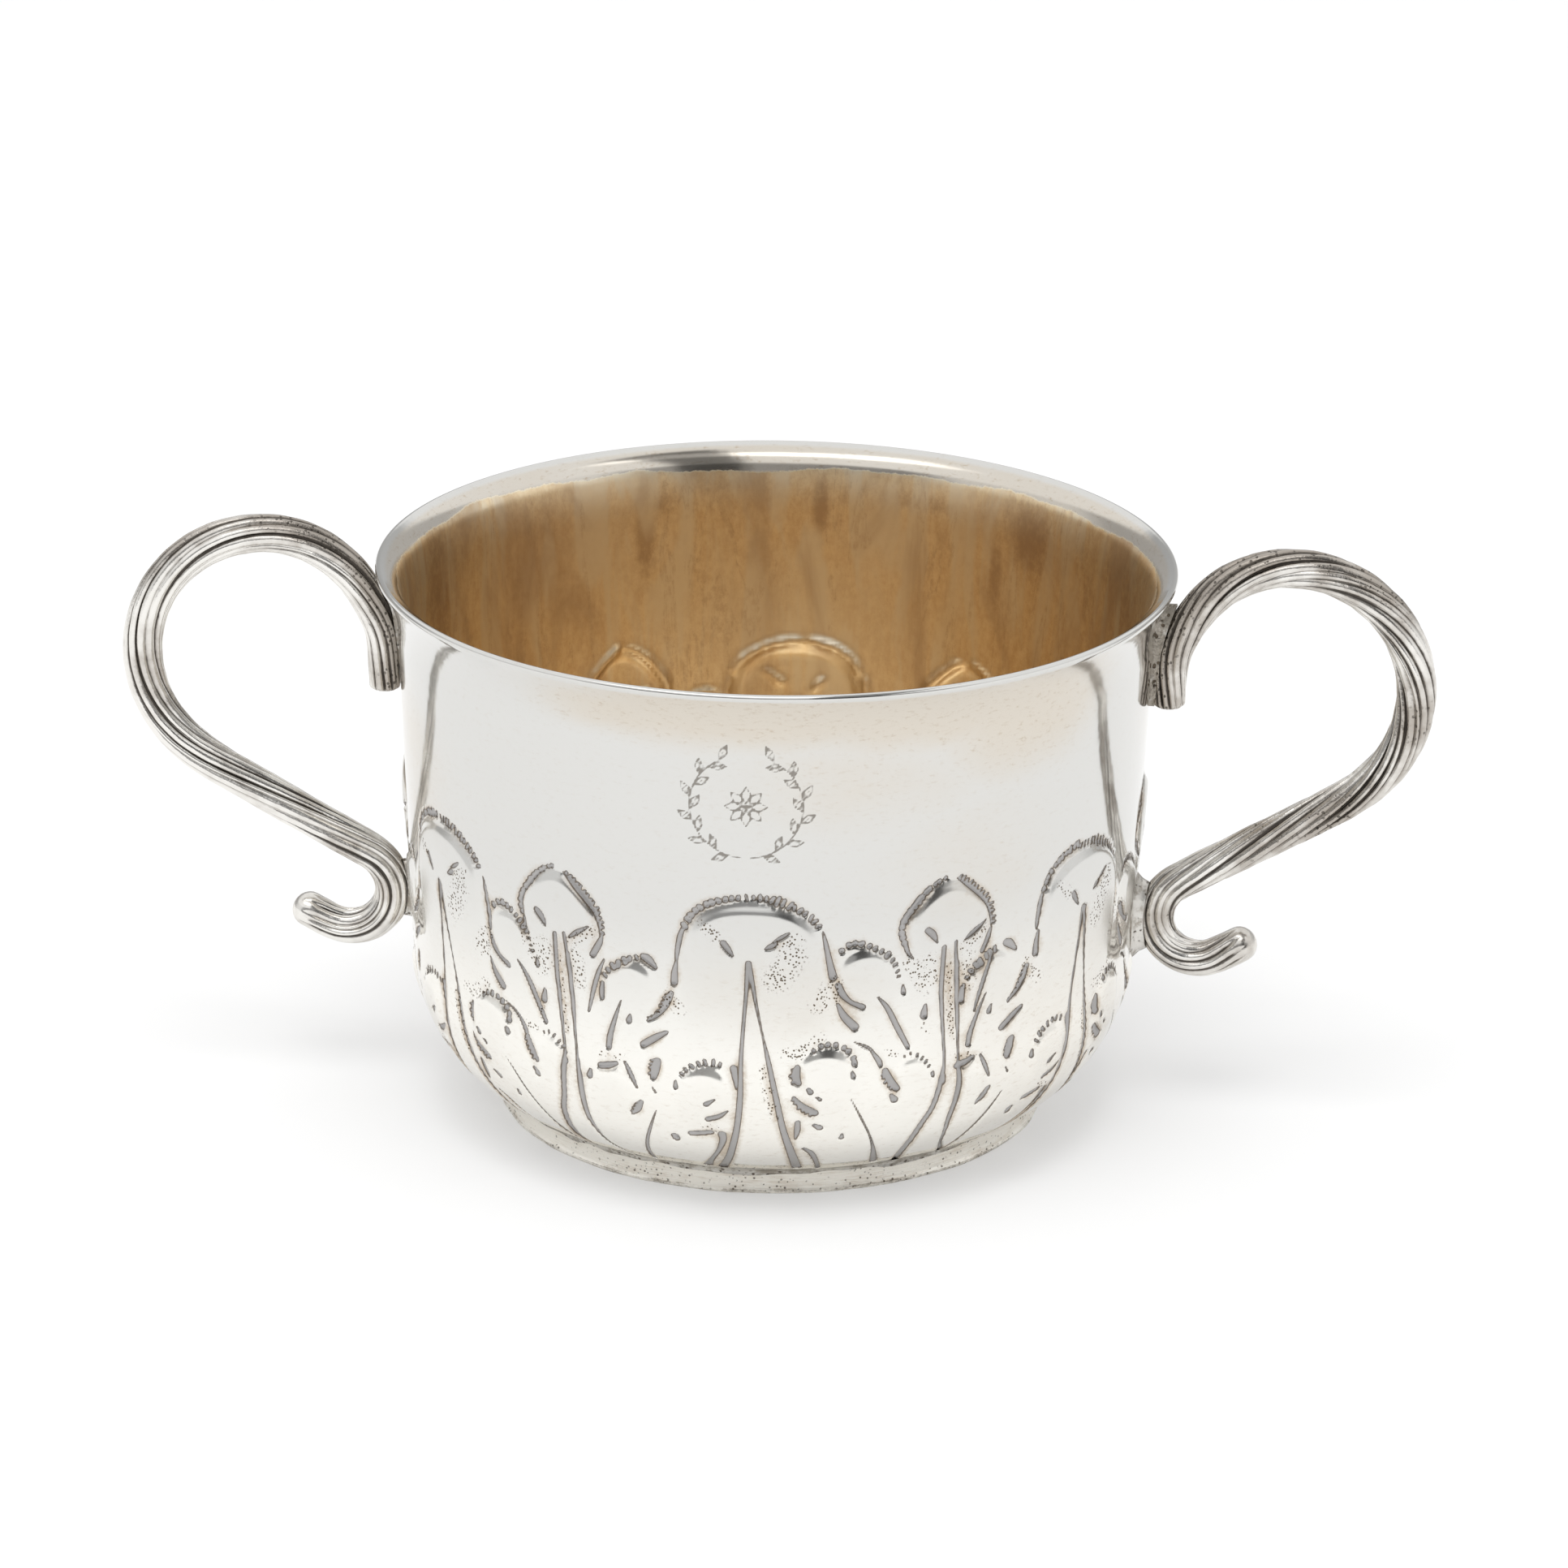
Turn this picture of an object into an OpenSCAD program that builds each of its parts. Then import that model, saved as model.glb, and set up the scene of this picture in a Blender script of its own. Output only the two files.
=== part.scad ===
// Two-handled caudle cup in wrought silver: a raised bowl on a foot ring, with reeded scroll handles.
// The origin is on the table under the middle of the bowl. +Z is up, and the handles lie along X.

/* [Bowl] */
// Diameter across the lip
rim_d = 99; // [88:1:110]
// Height of the lip above the table
cup_h = 70; // [64:1:80]
// Thickness of the silver sheet
wall_t = 0.9; // [0.7:0.1:1.6]
// Outward lean of the wall in degrees
wall_lean = 2.2; // [0.5:0.1:4]
// Radius of the curve that turns the lip out
lip_r = 14; // [10:1:18]
// Angle that the lip turns out through, in degrees
lip_turn = 34; // [20:1:42]
// Radius of the curve between the wall and the base
belly_r = 18.6; // [15:0.2:21]
// Gap between the base and the table
base_lift = 1.4; // [1:0.1:2.5]

/* [Foot ring] */
// Height of the foot ring up to the belly
foot_h = 3.45; // [3:0.05:5]
// Thickness of the foot strip
foot_t = 1.4; // [0.9:0.1:2]
// How far the strip draws in from its top to the bead
foot_draft = 0.7; // [0.2:0.1:1]
// Height of the bead along the lower edge of the strip
bead_h = 0.7; // [0.4:0.1:1]
// How far the bead stands out from the strip
bead_out = 0.25; // [0.1:0.05:0.5]

/* [Handles] */
// Diameter of the handle rod over its reeds
handle_d = 5; // [4:0.1:6]
// How far the handle tops stand above the lip
handle_over = 4.2; // [2:0.1:7]
// Radius of the rising quarter next to the lip
rise_r = 14.1; // [12:0.1:16]
// Radius of the outer loop
loop_r = 16.2; // [14.5:0.1:18]
// Radius of the lower scroll
scroll_r = 5.5; // [4.5:0.1:6.5]
// Height of the middle of the lower scroll
scroll_z = 24.9; // [22:0.1:27]
// Angle that the lower scroll turns through, in degrees
scroll_turn = 180; // [150:5:200]
// Length of the straight end soldered to the wall
leg_l = 5; // [3:0.5:7]
// Length of the free tail after the scroll
tail_l = 5; // [3:0.5:7]
// Number of reeds round the rod
reeds = 12; // [8:1:14]
// Depth of the grooves between reeds
reed_depth = 0.32; // [0.15:0.01:0.5]
// Turns that the reeds make along the left handle
left_turns = 0.9; // [0:0.1:2]
// Turns that the reeds make along the right handle
right_turns = 1.7; // [0:0.1:2]

/* [Solder] */
// Thickness of solder where a handle comes nearest to the wall
solder_t = 0.2; // [0.1:0.05:0.6]
// Width of the solder behind a handle
solder_w = 4.2; // [3:0.1:4.6]
// Height of the solder above the straight end of a handle
upper_solder_rise = 5.5; // [3:0.1:7]
// Height of the solder behind the lower scroll
lower_solder_h = 8.6; // [6:0.1:9]
// Width of the fillet between the bowl and the foot ring
foot_solder_w = 1.1; // [0.6:0.1:1.6]

/* [Hidden] */
$fn = 96;
// Finer rounding where thin solder is cut to the wall and the rod
fine = 360;
silver = [0.84, 0.83, 0.80];
tarnished_silver = [0.66, 0.64, 0.60];
solder_grey = [0.52, 0.51, 0.48];
// Clear film between faces that are soldered together
film = 0.02;
// Steps along the curves of the bowl's section
belly_steps = 20;
lip_steps = 10;
edge_steps = 8;
seat_steps = 4;
// Spacing of the rings of points along a handle, and points on each reed
ring_gap = 1.9;
reed_points = 3;
cap_rings = 4;

// Section of the bowl: the lip's arc, the leaning wall and the belly's arc, each tangent to the next
rim_r = rim_d / 2;
lip_end = 180 - wall_lean - lip_turn;
lip_mid_r = lip_r + wall_t / 2;
lip_x = rim_r - wall_t / 2 - lip_mid_r * cos(lip_end);
lip_z = cup_h - wall_t / 2 - lip_mid_r * sin(lip_end);
neck_x = lip_x - lip_r * cos(wall_lean);
neck_z = lip_z + lip_r * sin(wall_lean);
belly_z = base_lift + belly_r;
belly_top_z = belly_z - belly_r * sin(wall_lean);
belly_top_x = neck_x - (neck_z - belly_top_z) * tan(wall_lean);
belly_x = belly_top_x - belly_r * cos(wall_lean);

// Points up the bowl's section, at a depth under its outer face
function belly_arc(depth) = [
    for (i = [0:belly_steps])
        let (a = -90 + (90 - wall_lean) * i / belly_steps)
        [belly_x + (belly_r - depth) * cos(a), belly_z + (belly_r - depth) * sin(a)]
];
function lip_arc(depth) = [
    for (i = [0:lip_steps])
        let (a = 180 - wall_lean - lip_turn * i / lip_steps)
        [lip_x + (lip_r + depth) * cos(a), lip_z + (lip_r + depth) * sin(a)]
];
function side(depth) = concat([[0, base_lift + depth]], belly_arc(depth), lip_arc(depth));
function backwards(points) = [for (i = [len(points) - 1:-1:0]) points[i]];

// Round edge of the lip, from the outer face to the inner one
lip_edge = [
    for (i = [1:edge_steps - 1])
        let (a = lip_end - 180 + 180 * i / edge_steps)
        [
            lip_x + lip_mid_r * cos(lip_end) + wall_t / 2 * cos(a),
            lip_z + lip_mid_r * sin(lip_end) + wall_t / 2 * sin(a)
        ]
];

// Outer radius of the wall at a height between the belly and the lip, and height of the belly's underside
function wall_x(z) = z > belly_top_z
    ? neck_x - (neck_z - z) * tan(wall_lean)
    : belly_x + sqrt(pow(belly_r, 2) - pow(belly_z - z, 2));
function underside_z(x) = belly_z - sqrt(pow(belly_r, 2) - pow(x - belly_x, 2));

// Centre line of a handle in its own plane: leg, rising quarter, outer loop, run, scroll and tail
handle_r = handle_d / 2;
loop_top_z = cup_h + handle_over - handle_r;
rise_z = loop_top_z - rise_r;
leg_x = wall_x(rise_z) + solder_t + handle_r;
rise_x = leg_x + rise_r;
leg_z = rise_z - leg_l;
loop_z = loop_top_z - loop_r;
scroll_x = wall_x(scroll_z) + solder_t + handle_r + scroll_r;
centres_d = norm([scroll_x - rise_x, scroll_z - loop_z]);
run_l = sqrt(pow(centres_d, 2) - pow(loop_r + scroll_r, 2));
run_heading = atan2(scroll_z - loop_z, scroll_x - rise_x) - asin((loop_r + scroll_r) / centres_d);
scroll_start = run_heading - 90;
tail_heading = run_heading + scroll_turn;

function arc_l(r, turn) = r * turn * PI / 180;
function arc_turn(r, l) = l / r * 180 / PI;
function on_circle(x, z, r, a) = [x + r * cos(a), z + r * sin(a)];
function along(point, heading, l) = [point[0] + l * cos(heading), point[1] + l * sin(heading)];

run_start = on_circle(rise_x, loop_z, loop_r, run_heading + 90);
tail_start = on_circle(scroll_x, scroll_z, scroll_r, scroll_start + scroll_turn);

// Lengths along the centre line at which each stretch ends
leg_end = leg_l;
rise_end = leg_end + arc_l(rise_r, 90);
loop_end = rise_end + arc_l(loop_r, -run_heading);
run_end = loop_end + run_l;
scroll_end = run_end + arc_l(scroll_r, scroll_turn);
tail_end = scroll_end + tail_l;

// Place [x, z, heading] of the point at length s along the centre line
function place(s) =
    s < leg_end ? concat(along([leg_x, leg_z], 90, s), 90)
    : s < rise_end ?
        let (a = 180 - arc_turn(rise_r, s - leg_end))
        concat(on_circle(rise_x, rise_z, rise_r, a), a - 90)
    : s < loop_end ?
        let (a = 90 - arc_turn(loop_r, s - rise_end))
        concat(on_circle(rise_x, loop_z, loop_r, a), a - 90)
    : s < run_end ? concat(along(run_start, run_heading, s - loop_end), run_heading)
    : s < scroll_end ?
        let (a = scroll_start + arc_turn(scroll_r, s - run_end))
        concat(on_circle(scroll_x, scroll_z, scroll_r, a), a + 90)
    : concat(along(tail_start, tail_heading, s - scroll_end), tail_heading);

// Rings of points round the rod: [length along it, share of its full radius], with a rounded end at each tip
body_rings = round((tail_end - 2 * handle_r) / ring_gap);
cap = [for (i = [1:cap_rings]) [handle_r * (1 - cos(90 * i / cap_rings)), sin(90 * i / cap_rings)]];
rings = concat(
    cap,
    [for (i = [1:body_rings - 1]) [handle_r + (tail_end - 2 * handle_r) * i / body_rings, 1]],
    [for (c = backwards(cap)) [tail_end - c[0], c[1]]]
);
ring_points = reeds * reed_points;

// Point on the rod at an angle from the outside of its bend towards the front
function rod_point(s, radius, a) =
    let (p = place(s))
    [
        p[0] - radius * cos(a) * sin(p[2]),
        -radius * sin(a),
        p[1] + radius * cos(a) * cos(p[2])
    ];
// Radius of the rod at a point of a ring: full on the reeds, less in the grooves between them
function reed_radius(j) = handle_r - reed_depth * (1 - sin(180 * (j % reed_points) / reed_points));

module reeded_rod(turns) {
    points = concat(
        [rod_point(0, 0, 0)],
        [
            for (ring = rings)
                for (j = [0:ring_points - 1])
                    rod_point(
                        ring[0],
                        ring[1] * reed_radius(j),
                        360 * j / ring_points - 360 * turns * ring[0] / tail_end
                    )
        ],
        [rod_point(tail_end, 0, 0)]
    );
    last = len(points) - 1;
    function at(ring, j) = 1 + ring * ring_points + j % ring_points;
    faces = concat(
        [for (j = [0:ring_points - 1]) [0, at(0, j), at(0, j + 1)]],
        [
            for (i = [0:len(rings) - 2])
                for (j = [0:ring_points - 1])
                    each [
                        [at(i, j), at(i + 1, j), at(i + 1, j + 1)],
                        [at(i, j), at(i + 1, j + 1), at(i, j + 1)]
                    ]
        ],
        [for (j = [0:ring_points - 1]) [last, at(len(rings) - 1, j + 1), at(len(rings) - 1, j)]]
    );
    polyhedron(points, faces);
}

// Space taken by the bowl, and by the smooth rod of a handle near its joints, with the solder's film
module bowl_space() {
    rotate_extrude($fn = fine)
        polygon(concat(side(-film), [[0, cup_h]]));
}

module bend_space(x, z, r, turn) {
    translate([x, 0, z])
        rotate([90, 0, 0])
            rotate([0, 0, 90])
                rotate_extrude(angle = turn, $fn = fine)
                    translate([r, 0])
                        circle(r = handle_r + film);
}

module leg_space() {
    translate([leg_x, 0, leg_z - handle_r])
        cylinder(r = handle_r + film, h = leg_l + handle_r);
}

// Block of solder against the wall, reaching out to the middle of the rod
module solder_block(z_low, z_high, x_out) {
    translate([wall_x(z_low) - wall_t, -solder_w / 2, z_low])
        cube([x_out - wall_x(z_low) + wall_t, solder_w, z_high - z_low]);
}

module upper_solder() {
    color(solder_grey)
        difference() {
            solder_block(leg_z + handle_r, rise_z + upper_solder_rise, leg_x);
            bowl_space();
            leg_space();
            bend_space(rise_x, rise_z, rise_r, 90);
        }
}

module lower_solder() {
    color(solder_grey)
        difference() {
            solder_block(
                scroll_z - lower_solder_h / 2,
                scroll_z + lower_solder_h / 2,
                scroll_x - scroll_r
            );
            bowl_space();
            bend_space(scroll_x, scroll_z, scroll_r, 180);
        }
}

// Raised sheet with the wall, lip, belly and base in one piece
module bowl() {
    color(silver)
        rotate_extrude()
            polygon(concat(side(0), lip_edge, backwards(side(wall_t))));
}

// Strip bent to a ring, with its upper edge fitted to the belly and a bead along its lower edge
foot_r = belly_x + sqrt(pow(belly_r, 2) - pow(belly_z - foot_h, 2));
foot_top = [
    for (i = [0:seat_steps])
        let (x = foot_r - foot_t * i / seat_steps)
        [x, underside_z(x) - film]
];
module foot_ring() {
    color(tarnished_silver)
        rotate_extrude()
            polygon(concat(
                foot_top,
                [
                    [foot_r - foot_t - foot_draft, bead_h],
                    [foot_r - foot_t - foot_draft, 0],
                    [foot_r - foot_draft + bead_out, 0],
                    [foot_r - foot_draft + bead_out, bead_h],
                    [foot_r - foot_draft, bead_h + bead_out]
                ]
            ));
}

// Fillet of solder in the corner between the belly and the foot ring
foot_solder_low_z = foot_h - foot_solder_w;
foot_solder_low_x = foot_r - foot_draft * foot_solder_w / (foot_h - bead_h - bead_out);
module foot_solder() {
    color(solder_grey)
        rotate_extrude()
            polygon(concat(
                [
                    for (i = [0:seat_steps])
                        let (x = foot_r + film + foot_solder_w * i / seat_steps)
                        [x, underside_z(x) - film]
                ],
                [[foot_solder_low_x + film, foot_solder_low_z]]
            ));
}

module right_handle() {
    color(silver)
        reeded_rod(right_turns);
}

module left_handle() {
    color(silver)
        rotate([0, 0, 180])
            reeded_rod(left_turns);
}

module right_upper_solder() {
    upper_solder();
}

module left_upper_solder() {
    rotate([0, 0, 180])
        upper_solder();
}

module right_lower_solder() {
    lower_solder();
}

module left_lower_solder() {
    rotate([0, 0, 180])
        lower_solder();
}

bowl();
foot_ring();
foot_solder();
left_handle();
right_handle();
left_upper_solder();
right_upper_solder();
left_lower_solder();
right_lower_solder();
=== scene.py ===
import math

import bpy
import numpy as np
from mathutils import Matrix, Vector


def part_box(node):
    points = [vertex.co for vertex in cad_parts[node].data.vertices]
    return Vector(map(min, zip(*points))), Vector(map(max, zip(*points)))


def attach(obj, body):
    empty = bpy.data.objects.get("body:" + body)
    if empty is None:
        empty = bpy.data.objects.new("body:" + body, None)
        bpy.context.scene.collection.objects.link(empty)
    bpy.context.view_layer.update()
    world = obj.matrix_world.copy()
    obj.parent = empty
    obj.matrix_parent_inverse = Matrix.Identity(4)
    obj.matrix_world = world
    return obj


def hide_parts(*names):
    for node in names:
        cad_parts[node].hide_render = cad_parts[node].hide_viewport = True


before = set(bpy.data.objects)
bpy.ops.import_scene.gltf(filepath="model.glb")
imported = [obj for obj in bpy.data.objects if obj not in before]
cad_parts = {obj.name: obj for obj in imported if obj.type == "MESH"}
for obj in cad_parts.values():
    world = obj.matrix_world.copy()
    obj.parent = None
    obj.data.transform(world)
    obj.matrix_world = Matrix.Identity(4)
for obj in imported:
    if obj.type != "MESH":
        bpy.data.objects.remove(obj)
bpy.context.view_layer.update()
MM = 0.001

# Bowl
# One sheet of sterling silver, raised with hammers: a straight wall, a rounded belly and an out-turned lip.
# Its section is the solid's own: arcs of the belly and the lip, tangent to the leaning wall between them.
bowl_low, bowl_high = (np.array(corner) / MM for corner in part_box("bowl"))
rim_r = min(bowl_high[:2])
cup_h = bowl_high[2]
base_lift = bowl_low[2]
wall_t = 0.9
wall_lean = math.radians(2.2)
lip_r = 14.0
lip_turn = math.radians(34)
belly_r = 18.6

lip_end = math.pi - wall_lean - lip_turn
lip_mid_r = lip_r + wall_t / 2
lip_x = rim_r - wall_t / 2 - lip_mid_r * math.cos(lip_end)
lip_z = cup_h - wall_t / 2 - lip_mid_r * math.sin(lip_end)
neck_x = lip_x - lip_r * math.cos(wall_lean)
neck_z = lip_z + lip_r * math.sin(wall_lean)
belly_z = base_lift + belly_r
belly_top_z = belly_z - belly_r * math.sin(wall_lean)
belly_top_x = neck_x - (neck_z - belly_top_z) * math.tan(wall_lean)
belly_x = belly_top_x - belly_r * math.cos(wall_lean)

# Lengths up the outside of the section at which the base, belly, wall and lip end
base_end = belly_x
belly_end = base_end + belly_r * (math.pi / 2 - wall_lean)
wall_end = belly_end + (neck_z - belly_top_z) / math.cos(wall_lean)
section_end = wall_end + lip_r * lip_turn


def section(length):
    """Radius, height and outward normal of the bowl's outside at a length up its section."""
    length = np.asarray(length, float)
    stretch = [length < base_end, length < belly_end, length < wall_end]
    belly_a = (length - base_end) / belly_r - math.pi / 2
    lip_a = math.pi - wall_lean - (length - wall_end) / lip_r
    up_wall = length - belly_end
    radius = np.select(
        stretch,
        [length, belly_x + belly_r * np.cos(belly_a), belly_top_x + up_wall * math.sin(wall_lean)],
        lip_x + lip_r * np.cos(lip_a),
    )
    height = np.select(
        stretch,
        [base_lift, belly_z + belly_r * np.sin(belly_a), belly_top_z + up_wall * math.cos(wall_lean)],
        lip_z + lip_r * np.sin(lip_a),
    )
    out_r = np.select(stretch, [0.0, np.cos(belly_a), math.cos(wall_lean)], -np.cos(lip_a))
    out_z = np.select(stretch, [-1.0, np.sin(belly_a), -math.sin(wall_lean)], -np.sin(lip_a))
    return radius, height, out_r, out_z


ladder = np.linspace(base_end, section_end, 6000)
ladder_heights = section(ladder)[1]


def length_at(height):
    return np.interp(height, ladder_heights, ladder)


# The chased and engraved part of the wall is a fine grid, and the rest of the sheet is coarser.
columns = 1152
grid = 0.25
coarse = 1.2
base_rings = [4.0, 12.0, 20.0]
worked_low = 3.0
worked_high = 69.0
worked = np.arange(length_at(worked_low), length_at(worked_high), grid)
outer_lengths = np.concatenate([
    base_rings,
    [base_end],
    np.arange(base_end + coarse, worked[0] - coarse / 2, coarse),
    worked,
    [section_end],
])
first_worked = int(np.searchsorted(outer_lengths, worked[0]))
turn_step = 2 * math.pi / columns
worked_r, worked_z, _, _ = section(worked)

# Leaf work is drawn on the wall as it lies at this radius: millimetres across from a leaf's axis, and height.
leaf_r = 45.2
stroke_step = 0.1
hand_slip = 0.14
carved = np.zeros((len(worked), columns))
swollen = np.zeros_like(carved)
matted = np.zeros_like(carved)
engraved = np.zeros_like(carved)


def traced(points, spacing):
    """A smooth line through given points of (across, height, width)."""
    knots = np.array(points, float)
    ends = np.vstack([2 * knots[0] - knots[1], knots, 2 * knots[-1] - knots[-2]])
    stretches = []
    for before, start, end, after in zip(ends, ends[1:], ends[2:], ends[3:]):
        count = max(2, int(np.hypot(*(end - start)[:2]) / spacing))
        t = np.arange(count)[:, None] / count
        stretches.append(0.5 * (
            2 * start + (end - before) * t
            + (2 * before - 5 * start + 4 * end - after) * t ** 2
            + (3 * start - before - 3 * end + after) * t ** 3
        ))
    return np.vstack(stretches + [knots[-1:]])


def press(layer, axis, points, soft=0.3):
    """Sinks a line into a layer of the wall: the layer is 0.5 along the line's edge, and more inside it."""
    for across, height, width in traced(points, stroke_step):
        turn = axis + across / leaf_r
        length = length_at(height)
        radius = np.interp(length, worked, worked_r)
        reach = max(width, 0.0) / 2 + soft
        low, high = np.searchsorted(worked, [length - reach, length + reach])
        cols = np.arange(
            math.floor((turn - reach / radius) / turn_step),
            math.ceil((turn + reach / radius) / turn_step) + 1,
        )
        away = np.hypot(
            (worked[low:high] - length)[:, None],
            ((cols * turn_step - turn) * radius)[None, :],
        )
        window = np.ix_(np.arange(low, high), cols % columns)
        layer[window] = np.maximum(layer[window], np.clip((reach - away) / (2 * soft), 0, 1))


def run_along(line):
    """The length run at each point of a line."""
    return np.concatenate([[0], np.cumsum(np.hypot(*np.diff(line, axis=0).T))])


def strewn(points, pitch, rng):
    """Places and left-hand sides along a line, a pitch apart as a hand sets them."""
    line = traced(points, stroke_step / 2)
    runs = run_along(line[:, :2])
    for run in np.arange(pitch / 2, runs[-1], pitch):
        run += rng.uniform(-hand_slip, hand_slip) * pitch
        here, ahead, behind = (
            np.array([np.interp(run + step, runs, column) for column in line.T])
            for step in (0, stroke_step, -stroke_step)
        )
        side = (ahead - behind)[1::-1] * (-1, 1)
        yield here, side / np.hypot(*side)


def beads(axis, points, pitch, size, rng):
    """A row of punch marks set across a line, each as wide as the line says."""
    for here, side in strewn(points, pitch, rng):
        slant = rng.uniform(-0.35, 0.35, 2)
        reach = (side + slant) * size / 2 * rng.uniform(0.7, 1.2)
        width = here[2] * rng.uniform(0.85, 1.1)
        press(carved, axis, [(*(here[:2] - reach), width), (*(here[:2] + reach), width * 0.9)])


def comb(axis, points, size, rng):
    """A groove with short teeth cut along its left-hand side."""
    tooth_pitch = 0.6
    tooth_w, tooth_tip_w = 0.36, 0.3
    overlap = 0.1
    press(carved, axis, points)
    for here, side in strewn(points, tooth_pitch, rng):
        root = here[:2] + side * (here[2] / 2 - overlap)
        slant = rng.uniform(-0.2, 0.2, 2)
        tip = root + (side + slant) * size * rng.uniform(0.8, 1.15)
        press(carved, axis, [(*root, tooth_w), (*tip, tooth_tip_w)])


def ease(share):
    share = np.clip(share, 0, 1)
    return share * share * (3 - 2 * share)


def swell(axis, across, top, half_w, fall, rise, squareness, shoulder):
    """Raises a leaf or lobe: steep inside its arched top edge, and dying away down its stem."""
    cols = np.arange(
        math.floor((axis + (across - half_w) / leaf_r) / turn_step),
        math.ceil((axis + (across + half_w) / leaf_r) / turn_step) + 1,
    )
    x = np.abs((cols * turn_step - axis) * leaf_r - across)[None, :]
    up = np.maximum(worked_z - (top - half_w), 0)[:, None]
    inside = half_w - (x ** squareness + up ** squareness) ** (1 / squareness)
    fade = ease((worked_z - (top - fall)) / (0.8 * fall))[:, None]
    shape = rise * ease(inside / shoulder) * fade
    window = np.ix_(np.arange(len(worked)), cols % columns)
    swollen[window] = np.maximum(swollen[window], shape)


# Each pattern is drawn in points of (across, height, width). Grooves are lines alone. Beads have a pitch and
# a size before their line, combs the size of their teeth, and matting its softness. A swell is its middle,
# top, half width, fall, rise, squareness and shoulder.

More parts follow.
